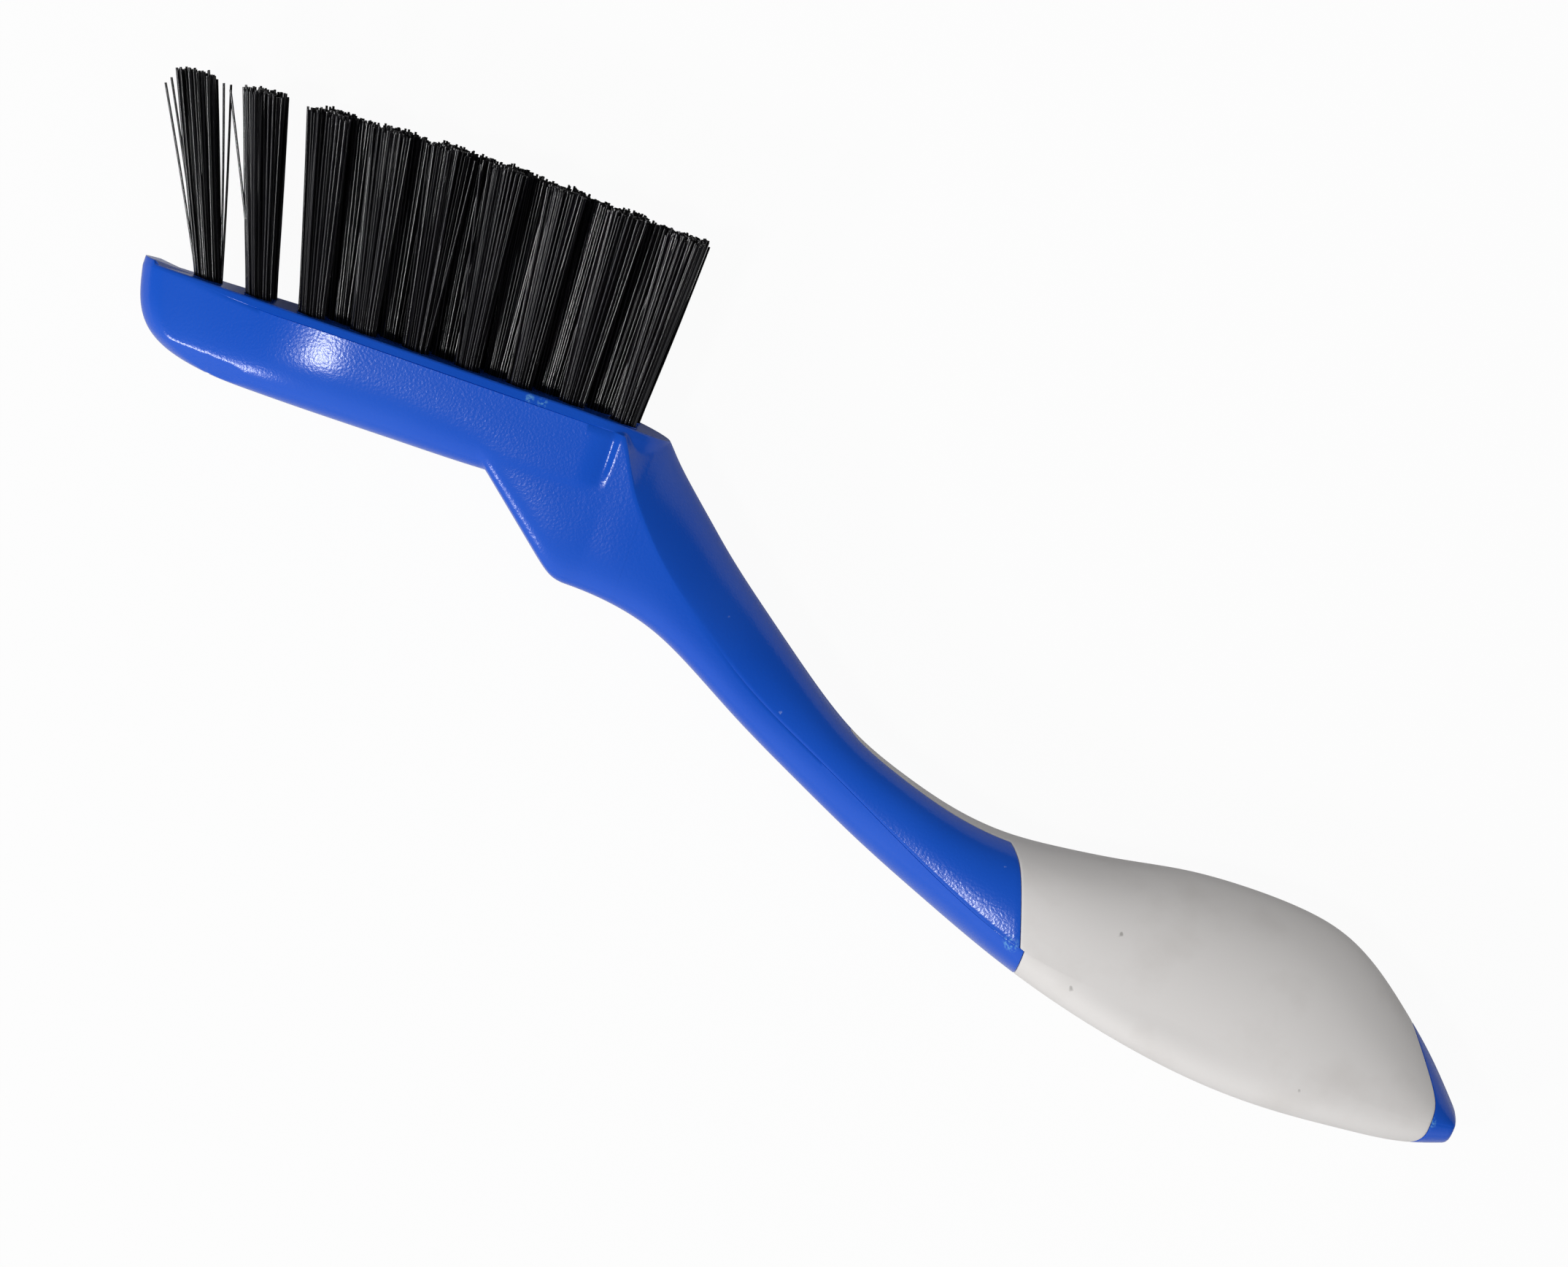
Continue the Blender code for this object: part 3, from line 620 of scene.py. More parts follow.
@dataclass
class Moulding:
    """The blue moulding's surface, worked out as half widths over the brush's side view."""

    place: BrushFrame
    head: HeadForm = field(default_factory=HeadForm)
    handle: HandleForm = field(default_factory=HandleForm)
    sleeve: SleeveEdges = field(default_factory=SleeveEdges)
    rows: Rows = field(default_factory=Rows)
    rings: Rings = field(default_factory=Rings)
    join: float = 0.5
    neck_lead: float = 1.0
    sharp_angle: float = radians(50)
    nose_corner_depth: float = 11.0
    nose_fan_end: float = 32.0
    blend_start: float = 86.0
    blend_end: float = 104.0
    groove_depth: Spline = Spline((
        (0.0, 0.0), (10.0, 0.02), (22.0, 0.10), (70.0, 0.10), (80.0, 0.03), (100.0, 0.02), (116.0, 0.05),
        (150.0, 0.05), (162.0, 0.0), (222.0, 0.0), (229.7, 0.03),
    ))

    def half_width_at(self, x: np.ndarray, y: np.ndarray) -> np.ndarray:
        """Half width of head and neck together: the soft maximum of both, which leaves a small fillet.

        Args:
            x: Places along the brush.
            y: Heights above the bristle face.

        Returns:
            Half widths, zero or more.
        """
        head = self.head.half_width_at(x, y)
        neck = self.handle.half_width_at(x, y, self.middle(x))
        return np.clip(soft_max(head, neck, self.join), 0.0, None)

    def middle(self, x: np.ndarray) -> np.ndarray:
        """Height of the parting line on the head and of the ridge behind it."""
        return self.handle.middle(x, self.head.parting_line(x))

    def top(self, x: float) -> float:
        """Height of the upper outline: the rim on the head, the top edge behind it."""
        return float(self.head.rim_height(x) if x < self.head.length else self.handle.top_edge(x))

    def foot(self, x: float) -> float:
        """Height of the lower outline: the crown, then the lower of crown and neck.

        Args:
            x: Place along the brush.

        Returns:
            Height of the lower outline.
        """
        crown = float(self.head.crown_height(np.float64(min(x, self.head.length))))
        if x < self.handle.start - self.neck_lead:
            return crown
        neck = float(self.handle.bottom(np.float64(x)))
        return neck if x > self.head.length else min(crown, neck)

    def fan(self, station: float, y: np.ndarray, foot: float) -> np.ndarray:
        """Place of a ring's points: rings near the nose bend from the rim to the nose's own outline.

        Args:
            station: Place of the ring's top.
            y: Heights of its points.
            foot: Height of its lower end.

        Returns:
            Places of its points.
        """
        corner = self.head.nose_inset(np.float64(self.nose_corner_depth))
        shift = corner * max(0.0, 1 - (station - self.head.nose_start) / self.nose_fan_end) ** 2
        share = np.clip(y / foot, 0.0, 1.0)
        return station + shift * self.head.nose_inset(share * self.nose_corner_depth) / corner

    def fan_foot(self, station: float) -> float:
        """Lower end of a ring that bends with the nose.

        Args:
            station: Place of the ring's top.

        Returns:
            Height of its lower end.
        """
        corner = float(self.head.nose_inset(np.float64(self.nose_corner_depth)))
        share = max(0.0, 1 - (station - self.head.nose_start) / self.nose_fan_end)
        return self.foot(station + corner * share ** 2)

    def spaced(self, station: float, first: float, last: float, foot: float, count: int) -> np.ndarray:
        """Heights spread evenly over a ring's length and over how much it turns, mixed by a weight.

        Args:
            station: Place of the ring.
            first: Height where the rows start.
            last: Height where they end.
            foot: Lower end of the whole ring.
            count: How many rows.

        Returns:
            The rows' heights.
        """
        share = (1 - np.cos(np.linspace(0.0, pi, self.rings.samples))) / 2
        y = first + (last - first) * share
        x = self.fan(station, y, foot)
        width = self.half_width_at(x, y)
        dx, dy, dw = np.diff(x), np.diff(y), np.diff(width)
        length = np.concatenate(((0.0,), np.cumsum(np.sqrt(dx ** 2 + dy ** 2 + dw ** 2))))
        heading = np.unwrap(np.arctan2(dw, np.abs(dy) + TINY))
        turning = np.abs(np.diff(heading))
        turn = np.concatenate(((0.0, 0.0), np.cumsum(turning)))
        by_length, by_turn = length / max(length[-1], TINY), turn / max(turn[-1], TINY)
        weight = self.rings.length_weight
        # A trace of the share keeps the values rising where the ring neither runs nor turns.
        even = weight * by_length + (1 - weight) * by_turn + share * 1e-6
        return np.interp(np.linspace(0.0, even[-1], count), even, y)

    @cached_property
    def angle_rows(self) -> tuple[np.ndarray, np.ndarray]:
        """Shares of the angle from the widest line to the tongue's edge, then from there to the top."""
        return np.linspace(0.0, 1.0, self.rows.flank), np.linspace(0.0, 1.0, self.rows.crown)

    def angles(self, x: np.ndarray) -> np.ndarray:
        """Angles of the upper rows round the handle at each place, the top row first.

        Args:
            x: Places along the handle.

        Returns:
            Angles in radians, places by rows.
        """
        flank, crown = self.angle_rows
        edge = pi / 2 - self.sleeve.tongue_half_angle(np.asarray(x, dtype=float))[..., None]
        near = edge * flank
        inner = edge + self.rows.tongue_gap
        over = inner + (pi / 2 - inner) * crown
        return np.concatenate((near, over), axis=-1)[..., ::-1]

    def rises(self) -> np.ndarray:
        """Shares of the rise above the widest line for all rows, and of the fall below it as negatives.

        Returns:
            One share for each row, the top row first.
        """
        above = np.sin(self.angles(np.float64(self.sleeve.front)))
        # The lowest of them counts as above the widest line, on the sleeve's side of its small step.
        above[-1] = 1e-3
        return np.concatenate((above, (0.0,), -np.sin(np.linspace(0.0, pi / 2, self.rows.lower))))

    def handle_rows(self, x: np.ndarray, inset: np.ndarray) -> tuple[np.ndarray, np.ndarray]:
        """Heights and half widths of all rows on the handle.

        The upper rows stand at sines of even angles and the lower ones at their 2/n power, so that
        they follow the superellipse evenly.

        Args:
            x: Place of each point, rings by rows.
            inset: How far each point lies under the handle's surface.

        Returns:
            Heights and half widths, rings by rows.
        """
        upper = self.rows.upper
        middle = self.middle(x)
        half = self.handle.half_widths(x) - inset
        rise = np.sin(self.angles(x[:, 0]))
        gap = self.rows.groove
        top = self.handle.top_edge(x[:, :upper]) - inset[:, :upper]
        start = middle[:, :upper] + gap
        high = start + (top - start) * rise
        high_half = half[:, :upper] * self.handle.section(x[:, :upper], rise, Flank.UPPER)
        groove = half[:, upper] - np.clip(self.groove_depth(x[:, upper]), 0.0, None)
        phase = np.linspace(0.0, pi / 2, self.rows.lower)
        low_x = x[:, upper + 1:]
        fall = np.sin(phase) ** (2 / self.handle.lower_fullness(low_x))
        bottom = self.handle.bottom(low_x) + inset[:, upper + 1:]
        begin = middle[:, upper + 1:] - gap
        low = begin + (bottom - begin) * fall
        low_half = half[:, upper + 1:] * self.handle.section(low_x, fall, Flank.LOWER)
        y = np.concatenate((high, middle[:, upper:upper + 1], low), axis=1)
        w = np.concatenate((high_half, groove[:, None], low_half), axis=1)
        return y, np.clip(w, 0.0, None)

    def head_ring(self, station: float) -> np.ndarray:
        """One side of a ring on the head or the neck's root, top row first.

        Args:
            station: Place of the ring's top.

        Returns:
            Points, rows by three.
        """
        rows, foot = self.rows, self.fan_foot(station)
        middle = float(self.middle(np.float64(station)))
        top = self.top(station)
        above = self.spaced(station, middle + rows.groove, top, foot, rows.upper)[::-1]
        below = self.spaced(station, middle - rows.groove, foot, foot, rows.lower)
        y = np.concatenate((above, (middle,), below))
        share = float(ease(np.float64((station - self.blend_start) / (self.blend_end - self.blend_start))))
        if share > 0:
            even, _ = self.handle_rows(np.full((1, rows.total), station), np.zeros((1, rows.total)))
            y = y * (1 - share) + even[0] * share
        x = self.fan(station, y, foot)
        width = self.half_width_at(x, y)
        width[rows.upper] -= float(self.groove_depth(np.float64(station)))
        width[-1] = 0.0
        if station > self.head.length:
            width[0] = 0.0
        return np.stack((x, y, np.clip(width, 0.0, None)), axis=-1)

    def head_stations(self) -> np.ndarray:
        """Places of the head's rings: crowded at the nose, at the neck's root and at the head's end.

        Returns:
            Places, nose first.
        """
        rings, head = self.rings, self.head
        nose = head.nose_start + head.nose_round * (1 - np.cos(np.linspace(0.0, pi / 2, rings.nose)))
        end = head.length
        rear = end - rings.rear_run * (1 - np.sin(np.linspace(0.0, pi / 2, rings.rear)))
        return np.concatenate((
            nose,
            *(np.arange(*run) for run in rings.runs),
            np.arange(rings.fine_start, end - rings.rear_gap, rings.fine_step),
            rear[:-1],
            (end - rings.rear_edge, end + rings.rear_edge),
            np.arange(end + rings.root_gap, self.blend_end, rings.root_step),
        ))

    def handle_rings(self) -> np.ndarray:
        """One side of the neck, core and tail: rings that bend with the sleeve's edges and step in there.

        Returns:
            Points, rings by rows by three.
        """
        rows, rings, edges = self.rows, self.rings, self.sleeve
        upper = rows.upper
        rise = self.rises()
        angle = np.zeros(rows.total)
        angle[:upper] = self.angles(np.float64(edges.tongue_tip))
        half_angle = edges.tongue_tip_angle
        tip = edges.tip_at(angle, half_angle)
        front, rear = edges.front_at(rise), edges.rear_at(rise)
        under = np.zeros(rows.total)
        under[:rows.crown] = edges.tongue_thickness + edges.tongue_bed
        start = np.full(rows.total, self.blend_end)
        tail = np.full(rows.total, self.handle.tail)
        none = np.zeros(rows.total)
        deep = np.full(rows.total, edges.wall)
        outer, wide, close, near = (edges.seam * share for share in edges.seam_rings)
        slight, lip, drop = edges.seam_depths
        steps: list[tuple[np.ndarray, np.ndarray]] = []

        def span(first: np.ndarray, last: np.ndarray, inset: np.ndarray, count: int) -> None:
            """Adds rings from one edge to another at one depth."""
            for share in np.linspace(0.0, 1.0, count):
                steps.append((first + (last - first) * share, inset))

        span(start, tip - edges.seam, none, rings.neck)
        span(tip + edges.tongue_step, front - outer, under, rings.tongue)
        steps.append((front - wide, under + slight))
        steps.append((front - close, np.maximum(under, lip)))
        steps.append((front - near, np.maximum(under, drop)))
        span(front + edges.core_step, rear - edges.core_step, deep, rings.core)
        steps.append((rear + near, none + drop))
        steps.append((rear + close, none + lip))
        steps.append((rear + wide, none + slight))
        span(rear + outer, tail - self.handle.tail_edge_start, none, rings.tail)
        for back, depth in self.handle.tail_edge:
            steps.append((tail - back, none + depth))
        x = np.array([step[0] for step in steps])
        inset = np.array([step[1] for step in steps])
        y, width = self.handle_rows(x, inset)
        width[:, 0] = 0.0
        width[:, -1] = 0.0
        return np.stack((x, y, width), axis=-1)

    def build(self, holes: "TuftField") -> bpy.types.Mesh:
        """Builds the whole moulding: both sides, the face with its tuft holes, and the tail's end.

        Args:
            holes: The tufts, whose holes go into the face.

        Returns:
            The mesh, with its sharp edges marked.
        """
        head = np.array([self.head_ring(station) for station in self.head_stations()])
        near = np.concatenate((head, self.handle_rings()))
        far = near * np.array((1.0, 1.0, -1.0))
        patch = Patch()
        patch.add_grid(near)
        patch.add_grid(far[:, ::-1])
        on_head = near[:, 0, 0] < self.head.length
        rim = near[on_head, 0]
        behind = near[~on_head, 0][0]
        corner = patch.add_points(np.array((rim[-1], rim[-1] * (1, 1, -1), behind)))
        patch.faces.append((corner, corner + 1, corner + 2))
        ring = np.concatenate((near[-1], far[-1, ::-1][1:-1]))
        first = patch.add_points(ring)
        patch.faces.append(tuple(range(first, first + len(ring))))
        holes.add_face(patch, rim)
        mesh = patch.mesh("moulding", self.place)
        mesh.set_sharp_from_angle(angle=self.sharp_angle)
        return mesh


@dataclass
class SoftSleeve:
    """The grey sleeve over the core: outer skin, tongue and inner skin, closed round its edges.

    Edge steps are the places of the first rings behind an edge, and edge drops are how far the skin
    rounds down on the outermost of them.
    """

    moulding: Moulding
    edge_steps: tuple[float, ...] = (0.0, 0.10, 0.25, 0.5)
    edge_drops: tuple[float, ...] = (0.10, 0.03, 0.005)
    seam_share: float = 0.3
    skin_length: float = 66.0
    skin_rings: int = 66
    tongue_length: float = 28.0
    tongue_run: tuple[float, float] = (1.2, 27.4)
    tongue_rings: int = 30
    tongue_tip_drop: float = 0.10
    tongue_side_drop: float = 0.08
    weld_digits: int = 4

    def sheet(self, inset: float, tongue_inset: float) -> tuple[np.ndarray, np.ndarray]:
        """The sleeve's skin and its tongue at a depth, one side, rings by rows.

        Args:
            inset: Depth of the skin under the handle's surface.
            tongue_inset: Depth of the tongue's skin.

        Returns:
            Points of the tongue (crown rows only) and of the sleeve (all rows).
        """
        moulding = self.moulding
        rows, edges = moulding.rows, moulding.sleeve
        upper, crown = rows.upper, rows.crown
        rise = moulding.rises()
        angle = np.zeros(rows.total)
        angle[:upper] = moulding.angles(np.float64(edges.tongue_tip))
        seam = edges.seam * self.seam_share
        tip = edges.tip_at(angle, edges.tongue_tip_angle) + seam
        front = edges.front_at(rise) + seam
        rear = edges.rear_at(rise) - seam
        lengths = np.append(self.edge_steps, np.linspace(1.0, self.skin_length - 1.0, self.skin_rings))
        last = np.array(self.edge_steps[::-1])
        share = np.append(lengths / self.skin_length, 1 - last / self.skin_length)
        x = front + (rear - front) * share[:, None]
        rounding = np.zeros_like(x)
        for ring, drop in enumerate(self.edge_drops):
            rounding[[ring, -1 - ring]] = drop
        rounding[:len(self.edge_drops), :crown] = 0.0
        y, width = moulding.handle_rows(x, inset + rounding * (inset == 0))
        width[:, (0, -1)] = 0.0
        skin = np.stack((x, y, width), axis=-1)
        along = np.append(self.edge_steps, np.linspace(*self.tongue_run, self.tongue_rings))
        along = np.append(along / self.tongue_length, 1.0)
        tongue_x = np.broadcast_to(tip + (front - tip) * along[:, None], (len(along), rows.total)).copy()
        depth = np.full_like(tongue_x, tongue_inset)
        depth[0, :crown] += self.tongue_tip_drop * (tongue_inset == 0)
        depth[:, crown - 1] += self.tongue_side_drop * (tongue_inset == 0)
        depth[-1] = inset
        y, width = moulding.handle_rows(tongue_x, depth)
        width[:, 0] = 0.0
        tongue = np.stack((tongue_x, y, width), axis=-1)[:, :crown]
        tongue[-1] = skin[0, :crown]
        return tongue, skin

    def build(self) -> bpy.types.Mesh:
        """Builds the closed sleeve: an outer sheet, an inner one, and a wall along every free edge.

        Returns:
            The mesh, a closed shell.
        """
        edges = self.moulding.sleeve
        outer = self.sheet(0.0, 0.0)
        inner = self.sheet(edges.wall - edges.core_gap, edges.tongue_thickness)
        sheets = []
        for tongue, skin in (outer, inner):
            patch = Patch()
            for grid in (tongue, skin):
                patch.add_grid(grid)
                patch.add_grid(grid[:, ::-1] * np.array((1.0, 1.0, -1.0)))
            sheets.append(patch)
        count = sheets[0].count
        points = np.concatenate(sheets[0].points)
        shell = Patch()
        shell.add_points(points)
        shell.add_points(np.concatenate(sheets[1].points))
        shell.faces = list(sheets[0].faces)
        shell.faces += [tuple(count + corner for corner in reversed(face)) for face in sheets[1].faces]
        shell.faces += self.walls(points, sheets[0].faces, count)
        return shell.mesh("soft_sleeve", self.moulding.place)

    def walls(
            self, points: np.ndarray, faces: list[tuple[int, ...]],
            count: int) -> list[tuple[int, ...]]:
        """Quads from each free edge of the outer sheet to the same edge of the inner one.

        Args:
            points: Points of the outer sheet.
            faces: Its faces.
            count: How far the inner sheet's numbers lie behind the outer's.

        Returns:
            One quad for each edge that only one face uses, once doubled points are taken as one.
        """
        _, same = np.unique(np.round(points, self.weld_digits), axis=0, return_inverse=True)
        same = same.reshape(-1)
        used: dict[tuple[int, int], list[tuple[int, int]]] = {}
        for face in faces:
            for first, second in zip(face, face[1:] + face[:1]):
                key = tuple(sorted((int(same[first]), int(same[second]))))
                used.setdefault(key, []).append((first, second))
        return [
            (pair[0][1], pair[0][0], count + pair[0][0], count + pair[0][1])
            for key, pair in used.items() if len(pair) == 1 and key[0] != key[1]
        ]


@dataclass(frozen=True)
class Tuft:
    """One tuft: its node, where its hole is, and which way it leans."""

    node: str
    x: float
    z: float
    lean: float
    outward: float
    trim: float

    @property
    def axes(self) -> tuple[np.ndarray, np.ndarray, np.ndarray]:
        """Directions along the brush, across it and up the tuft, square to each other.

        Returns:
            Three unit vectors.
        """
        up = np.array((-sin(self.lean), cos(self.lean), tan(self.outward)))
        up /= np.linalg.norm(up)
        along = np.array((cos(self.lean), sin(self.lean), 0.0))
        across = np.cross(along, up)
        across /= np.linalg.norm(across)
        return np.cross(up, across), across, up

    def at_height(self, u: np.ndarray, v: np.ndarray, height: np.ndarray) -> np.ndarray:
        """Point on a line beside the tuft's axis where it reaches a height above the face.

        Args:
            u: Distances of the lines from the axis, along the brush.
            v: Their distances from it, across the brush.
            height: Heights above the bristle face.

        Returns:
            Points, with x, y and z along the last axis.
        """
        along, across, up = self.axes
        aside = u[..., None] * along + v[..., None] * across
        climb = (height - aside[..., 1]) / up[1]
        return np.array((self.x, 0.0, self.z)) + aside + climb[..., None] * up


@dataclass(frozen=True)
class Stray:
    """A filament that stands apart: its tuft, and where its tip ends up."""

    node: str
    root_u: float
    root_v: float
    tip: tuple[float, float, float]


@dataclass
class TuftField:
    """All tufts: a nose tuft, a pair, two outer rows of seven and a middle row of six.

    Leans are in degrees at places along the head. Spreads are the radii of a tuft at its roots and at
    its tips, and the sink is how far its filaments reach down into the hole.
    """

    place: BrushFrame
    head: HeadForm = field(default_factory=HeadForm)
    first_outer_x: float = 27.41
    pitch: float = 8.19
    outer_count: int = 7
    outer_offset: float = 4.9
    pair_offset: float = 3.1
    pair_to_row: float = 8.55
    nose_to_pair: float = 8.55
    hole_radius: float = 2.2
    hole_depth: float = 3.0
    hole_sides: int = 40
    hole_cut_share: float = 0.97
    face_tolerance: float = 1e-6
    face_digits: int = 5
    leans: Spline = Spline(((10.3, 22.0), (18.9, 17.6), (27.4, 13.6), (51.0, 7.2), (76.6, 0.0)))
    outward_lean: float = radians(3.0)
    trim_height: float = 30.8
    nose_trim_drop: float = 2.1
    rear_trim_drop: float = 0.8
    unevenness: float = 0.24
    trim_tilt: float = 0.33
    trim_crown: float = 0.4
    filaments: int = 74
    filament_radius: float = 0.185
    filament_sides: int = 6
    filament_points: int = 6
    filament_sharp_angle: float = radians(61)
    root_spread: float = 1.85
    tip_spread: float = 3.12
    scatter: float = 0.12
    wild_share: float = 0.05
    wild_scatter: float = 4.0
    bow: float = 0.08
    stray_bow: float = 0.15
    trim_limits: tuple[float, float] = (-0.7, 0.6)
    path_seed: int = 1000
    shade_seed: int = 2000
    sink: float = 2.2
    strays: tuple[Stray, ...] = (
        Stray("tuft_nose", -1.5, 0.3, (-5.05, 25.5, 0.4)),
        Stray("tuft_nose", -1.2, -0.6, (-4.6, 26.5, -0.5)),
        Stray("tuft_nose", 1.8, 0.4, (4.4, 28.5, 0.8)),
        Stray("tuft_nose", 1.6, -0.3, (3.1, 28.3, -0.6)),
        Stray("tuft_pair_left", -0.4, 0.9, (5.1, 27.9, 4.6)),
        Stray("tuft_left_3", 0.9, 1.7, (40.5, 30.1, 8.8)),
        Stray("tuft_left_3", 1.4, 1.2, (43.3, 30.3, 8.6)),
    )

    def tufts(self) -> list[Tuft]:
        """Lists the tufts from the nose back.

        They lean forward most at the nose and stand up at the rear. Their trim drops toward the nose
        over the front half of the field, and toward the rear over its last third.

        Returns:
            The nose tuft, the pair, the outer rows and the middle row, in that order.
        """
        pair_x = self.first_outer_x - self.pair_to_row
        nose_x = pair_x - self.nose_to_pair
        rear_x = self.first_outer_x + (self.outer_count - 1) * self.pitch
        spots = [("nose", nose_x, 0.0)]
        spots += [("pair_left", pair_x, self.pair_offset), ("pair_right", pair_x, -self.pair_offset)]
        for i in range(self.outer_count):
            x = self.first_outer_x + i * self.pitch
            spots += [(f"left_{i + 1}", x, self.outer_offset), (f"right_{i + 1}", x, -self.outer_offset)]
        for i in range(self.outer_count - 1):
            spots.append((f"middle_{i + 1}", self.first_outer_x + (i + 0.5) * self.pitch, 0.0))
        made = []
        for name, x, z in spots:
            share = (rear_x - x) / (rear_x - nose_x)
            trim = self.trim_height - self.nose_trim_drop * max(0.0, 2 * share - 1)
            trim -= self.rear_trim_drop * max(0.0, 1 - 3 * share)
            outward = self.outward_lean * float(np.sign(z))
            lean = radians(float(self.leans(np.float64(x))))
            made.append(Tuft(f"tuft_{name}", x, z, lean, outward, trim))
        return made

    def add_face(self, patch: Patch, rim: np.ndarray) -> None:
        """Adds the flat bristle face, cut out round each hole, and the holes' walls and floors.

        Args:
            patch: Patch of the moulding.
            rim: Points of the near rim, nose first.
        """
        far = rim[::-1] * np.array((1.0, 1.0, -1.0))
        outline = np.concatenate((rim, far[:-1]))
        digits = self.face_digits
        heights = {tuple(np.round(point[[0, 2]], digits)): point[1] for point in outline}
        flat = [Vector((point[0], point[2])) for point in outline]
        edges = [(i, (i + 1) % len(flat)) for i in range(len(flat))]
        turn = np.linspace(0.0, 2 * pi, self.hole_sides, endpoint=False)
        circle_u, circle_v = self.hole_radius * np.cos(turn), self.hole_radius * np.sin(turn)
        tufts = self.tufts()
        for tuft in tufts:
            level = np.full(self.hole_sides, self.head.face_line(tuft.x))
            circle = tuft.at_height(circle_u, circle_v, level)
            floor_level = np.full(self.hole_sides, -self.hole_depth)
            edges += [(len(flat) + i, len(flat) + (i + 1) % self.hole_sides) for i in range(self.hole_sides)]
            flat += [Vector((point[0], point[2])) for point in circle]
            wall = np.stack((circle, tuft.at_height(circle_u, circle_v, floor_level)))
            first = patch.add_grid(np.concatenate((wall, wall[:, :1]), axis=1))
            floor = first + self.hole_sides + 1
            patch.faces.append(tuple(range(floor, floor + self.hole_sides)))
        points, _, faces = delaunay_2d_cdt(flat, edges, [], 1, self.face_tolerance)[:3]
        centres = np.array([(tuft.x, tuft.z) for tuft in tufts])
        level = self.head.face_line(np.array([p[0] for p in points]))
        high = [heights.get((round(p[0], digits), round(p[1], digits)), h) for p, h in zip(points, level)]
        first = patch.add_points(np.array([(p[0], h, p[1]) for p, h in zip(points, high)]))
        for face in faces:
            middle = sum((points[corner] for corner in face), Vector((0.0, 0.0))) / len(face)
            apart = np.hypot(centres[:, 0] - middle[0], centres[:, 1] - middle[1])
            if apart.min() > self.hole_radius * self.hole_cut_share:
                patch.faces.append(tuple(first + corner for corner in face))

    def filament_paths(self, tuft: Tuft, number: int) -> np.ndarray:
        """Middle lines of a tuft's filaments.

        Roots stand on a sunflower spiral, radius R sqrt(i / n) at golden angles, and each filament
        fans out evenly to a wider spiral at its tip, with a little scatter and bow.

        Args:
            tuft: The tuft.
            number: Its number, which seeds the scatter.

        Returns:
            Points, filaments by heights by three.
        """
        random = np.random.default_rng(self.path_seed + number)
        order = np.arange(self.filaments)
        radius = np.sqrt((order + 0.5) / self.filaments)
        angle = order * pi * (3 - 5 ** 0.5) + number
        u, v = radius * np.cos(angle), radius * np.sin(angle)
        scatter = random.normal(0.0, self.scatter, (2, self.filaments))
        wild = random.random(self.filaments) < self.wild_share
        scatter[:, wild] *= self.wild_scatter
        tip_u = u * self.tip_spread + scatter[0]
        tip_v = v * self.tip_spread + scatter[1]
        trim = tuft.trim + random.normal(0.0, self.unevenness, self.filaments).clip(*self.trim_limits)
        trim = trim + self.trim_tilt * sin(tuft.lean) * tip_u - self.trim_crown * radius ** 4
        share = np.linspace(0.0, 1.0, self.filament_points)
        height = -self.sink + (trim[:, None] + self.sink) * share
        fan = np.clip(height / trim[:, None], 0.0, 1.0)
        bow = np.sin(pi * fan) * random.normal(0.0, self.bow, self.filaments)[:, None]
        line_u = u[:, None] * self.root_spread * (1 - fan) + tip_u[:, None] * fan + bow
        line_v = v[:, None] * self.root_spread * (1 - fan) + tip_v[:, None] * fan
        paths = tuft.at_height(line_u, line_v, height)
        extra = [self.stray_path(tuft, stray, share) for stray in self.strays if stray.node == tuft.node]
        return np.concatenate((paths, np.array(extra))) if extra else paths

    def stray_path(self, tuft: Tuft, stray: Stray, share: np.ndarray) -> np.ndarray:
        """A line from a stray's root to its tip, bowed along the brush by a half sine of its share.

        Args:
            tuft: The tuft that the stray belongs to.
            stray: The stray.
            share: Shares of its length.

        Returns:
            Points, one for each share.
        """
        root = tuft.at_height(np.array(stray.root_u), np.array(stray.root_v), np.array(-self.sink))
        tip = np.array(stray.tip)
        line = root + (tip - root) * share[:, None]
        line[:, 0] += self.stray_bow * np.sin(pi * share)
        return line

    def tuft_mesh(self, tuft: Tuft, number: int) -> bpy.types.Mesh:
        """One tuft: a ring of sides round each point of a path, closed by the cut tip and the foot.

        Args:
            tuft: The tuft.
            number: Its number, which seeds its scatter and its shades.

        Returns:
            The mesh, with a shade for each filament in its filament attribute.
        """
        paths = self.filament_paths(tuft, number)
        count, heights = paths.shape[:2]
        sides = self.filament_sides
        along, across, _ = tuft.axes
        turn = np.linspace(0.0, 2 * pi, sides, endpoint=False) + number
        ring = self.filament_radius * (np.cos(turn)[:, None] * along + np.sin(turn)[:, None] * across)
        points = paths[:, :, None, :] + ring
        first = np.arange(count * heights * sides).reshape(count, heights, sides)
        after = np.roll(first, -1, axis=2)
        quads = np.stack((first[:, :-1], after[:, :-1], after[:, 1:], first[:, 1:]), axis=-1).reshape(-1, 4)
        faces = quads.tolist() + first[:, -1].tolist() + first[:, 0, ::-1].tolist()
        mesh = bpy.data.meshes.new(tuft.node)
        mesh.from_pydata(self.place.world(points.reshape(-1, 3)).tolist(), [], faces)
        form = bmesh.new()
        form.from_mesh(mesh)
        bmesh.ops.recalc_face_normals(form, faces=form.faces)
        form.to_mesh(mesh)
        form.free()
        mesh.shade_smooth()
        mesh.set_sharp_from_angle(angle=self.filament_sharp_angle)
        shade = np.random.default_rng(self.shade_seed + number).random(count)
        layer = mesh.attributes.new("filament", "FLOAT", "POINT")
        layer.data.foreach_set("value", np.repeat(shade, heights * sides).astype(np.float32))
        return mesh


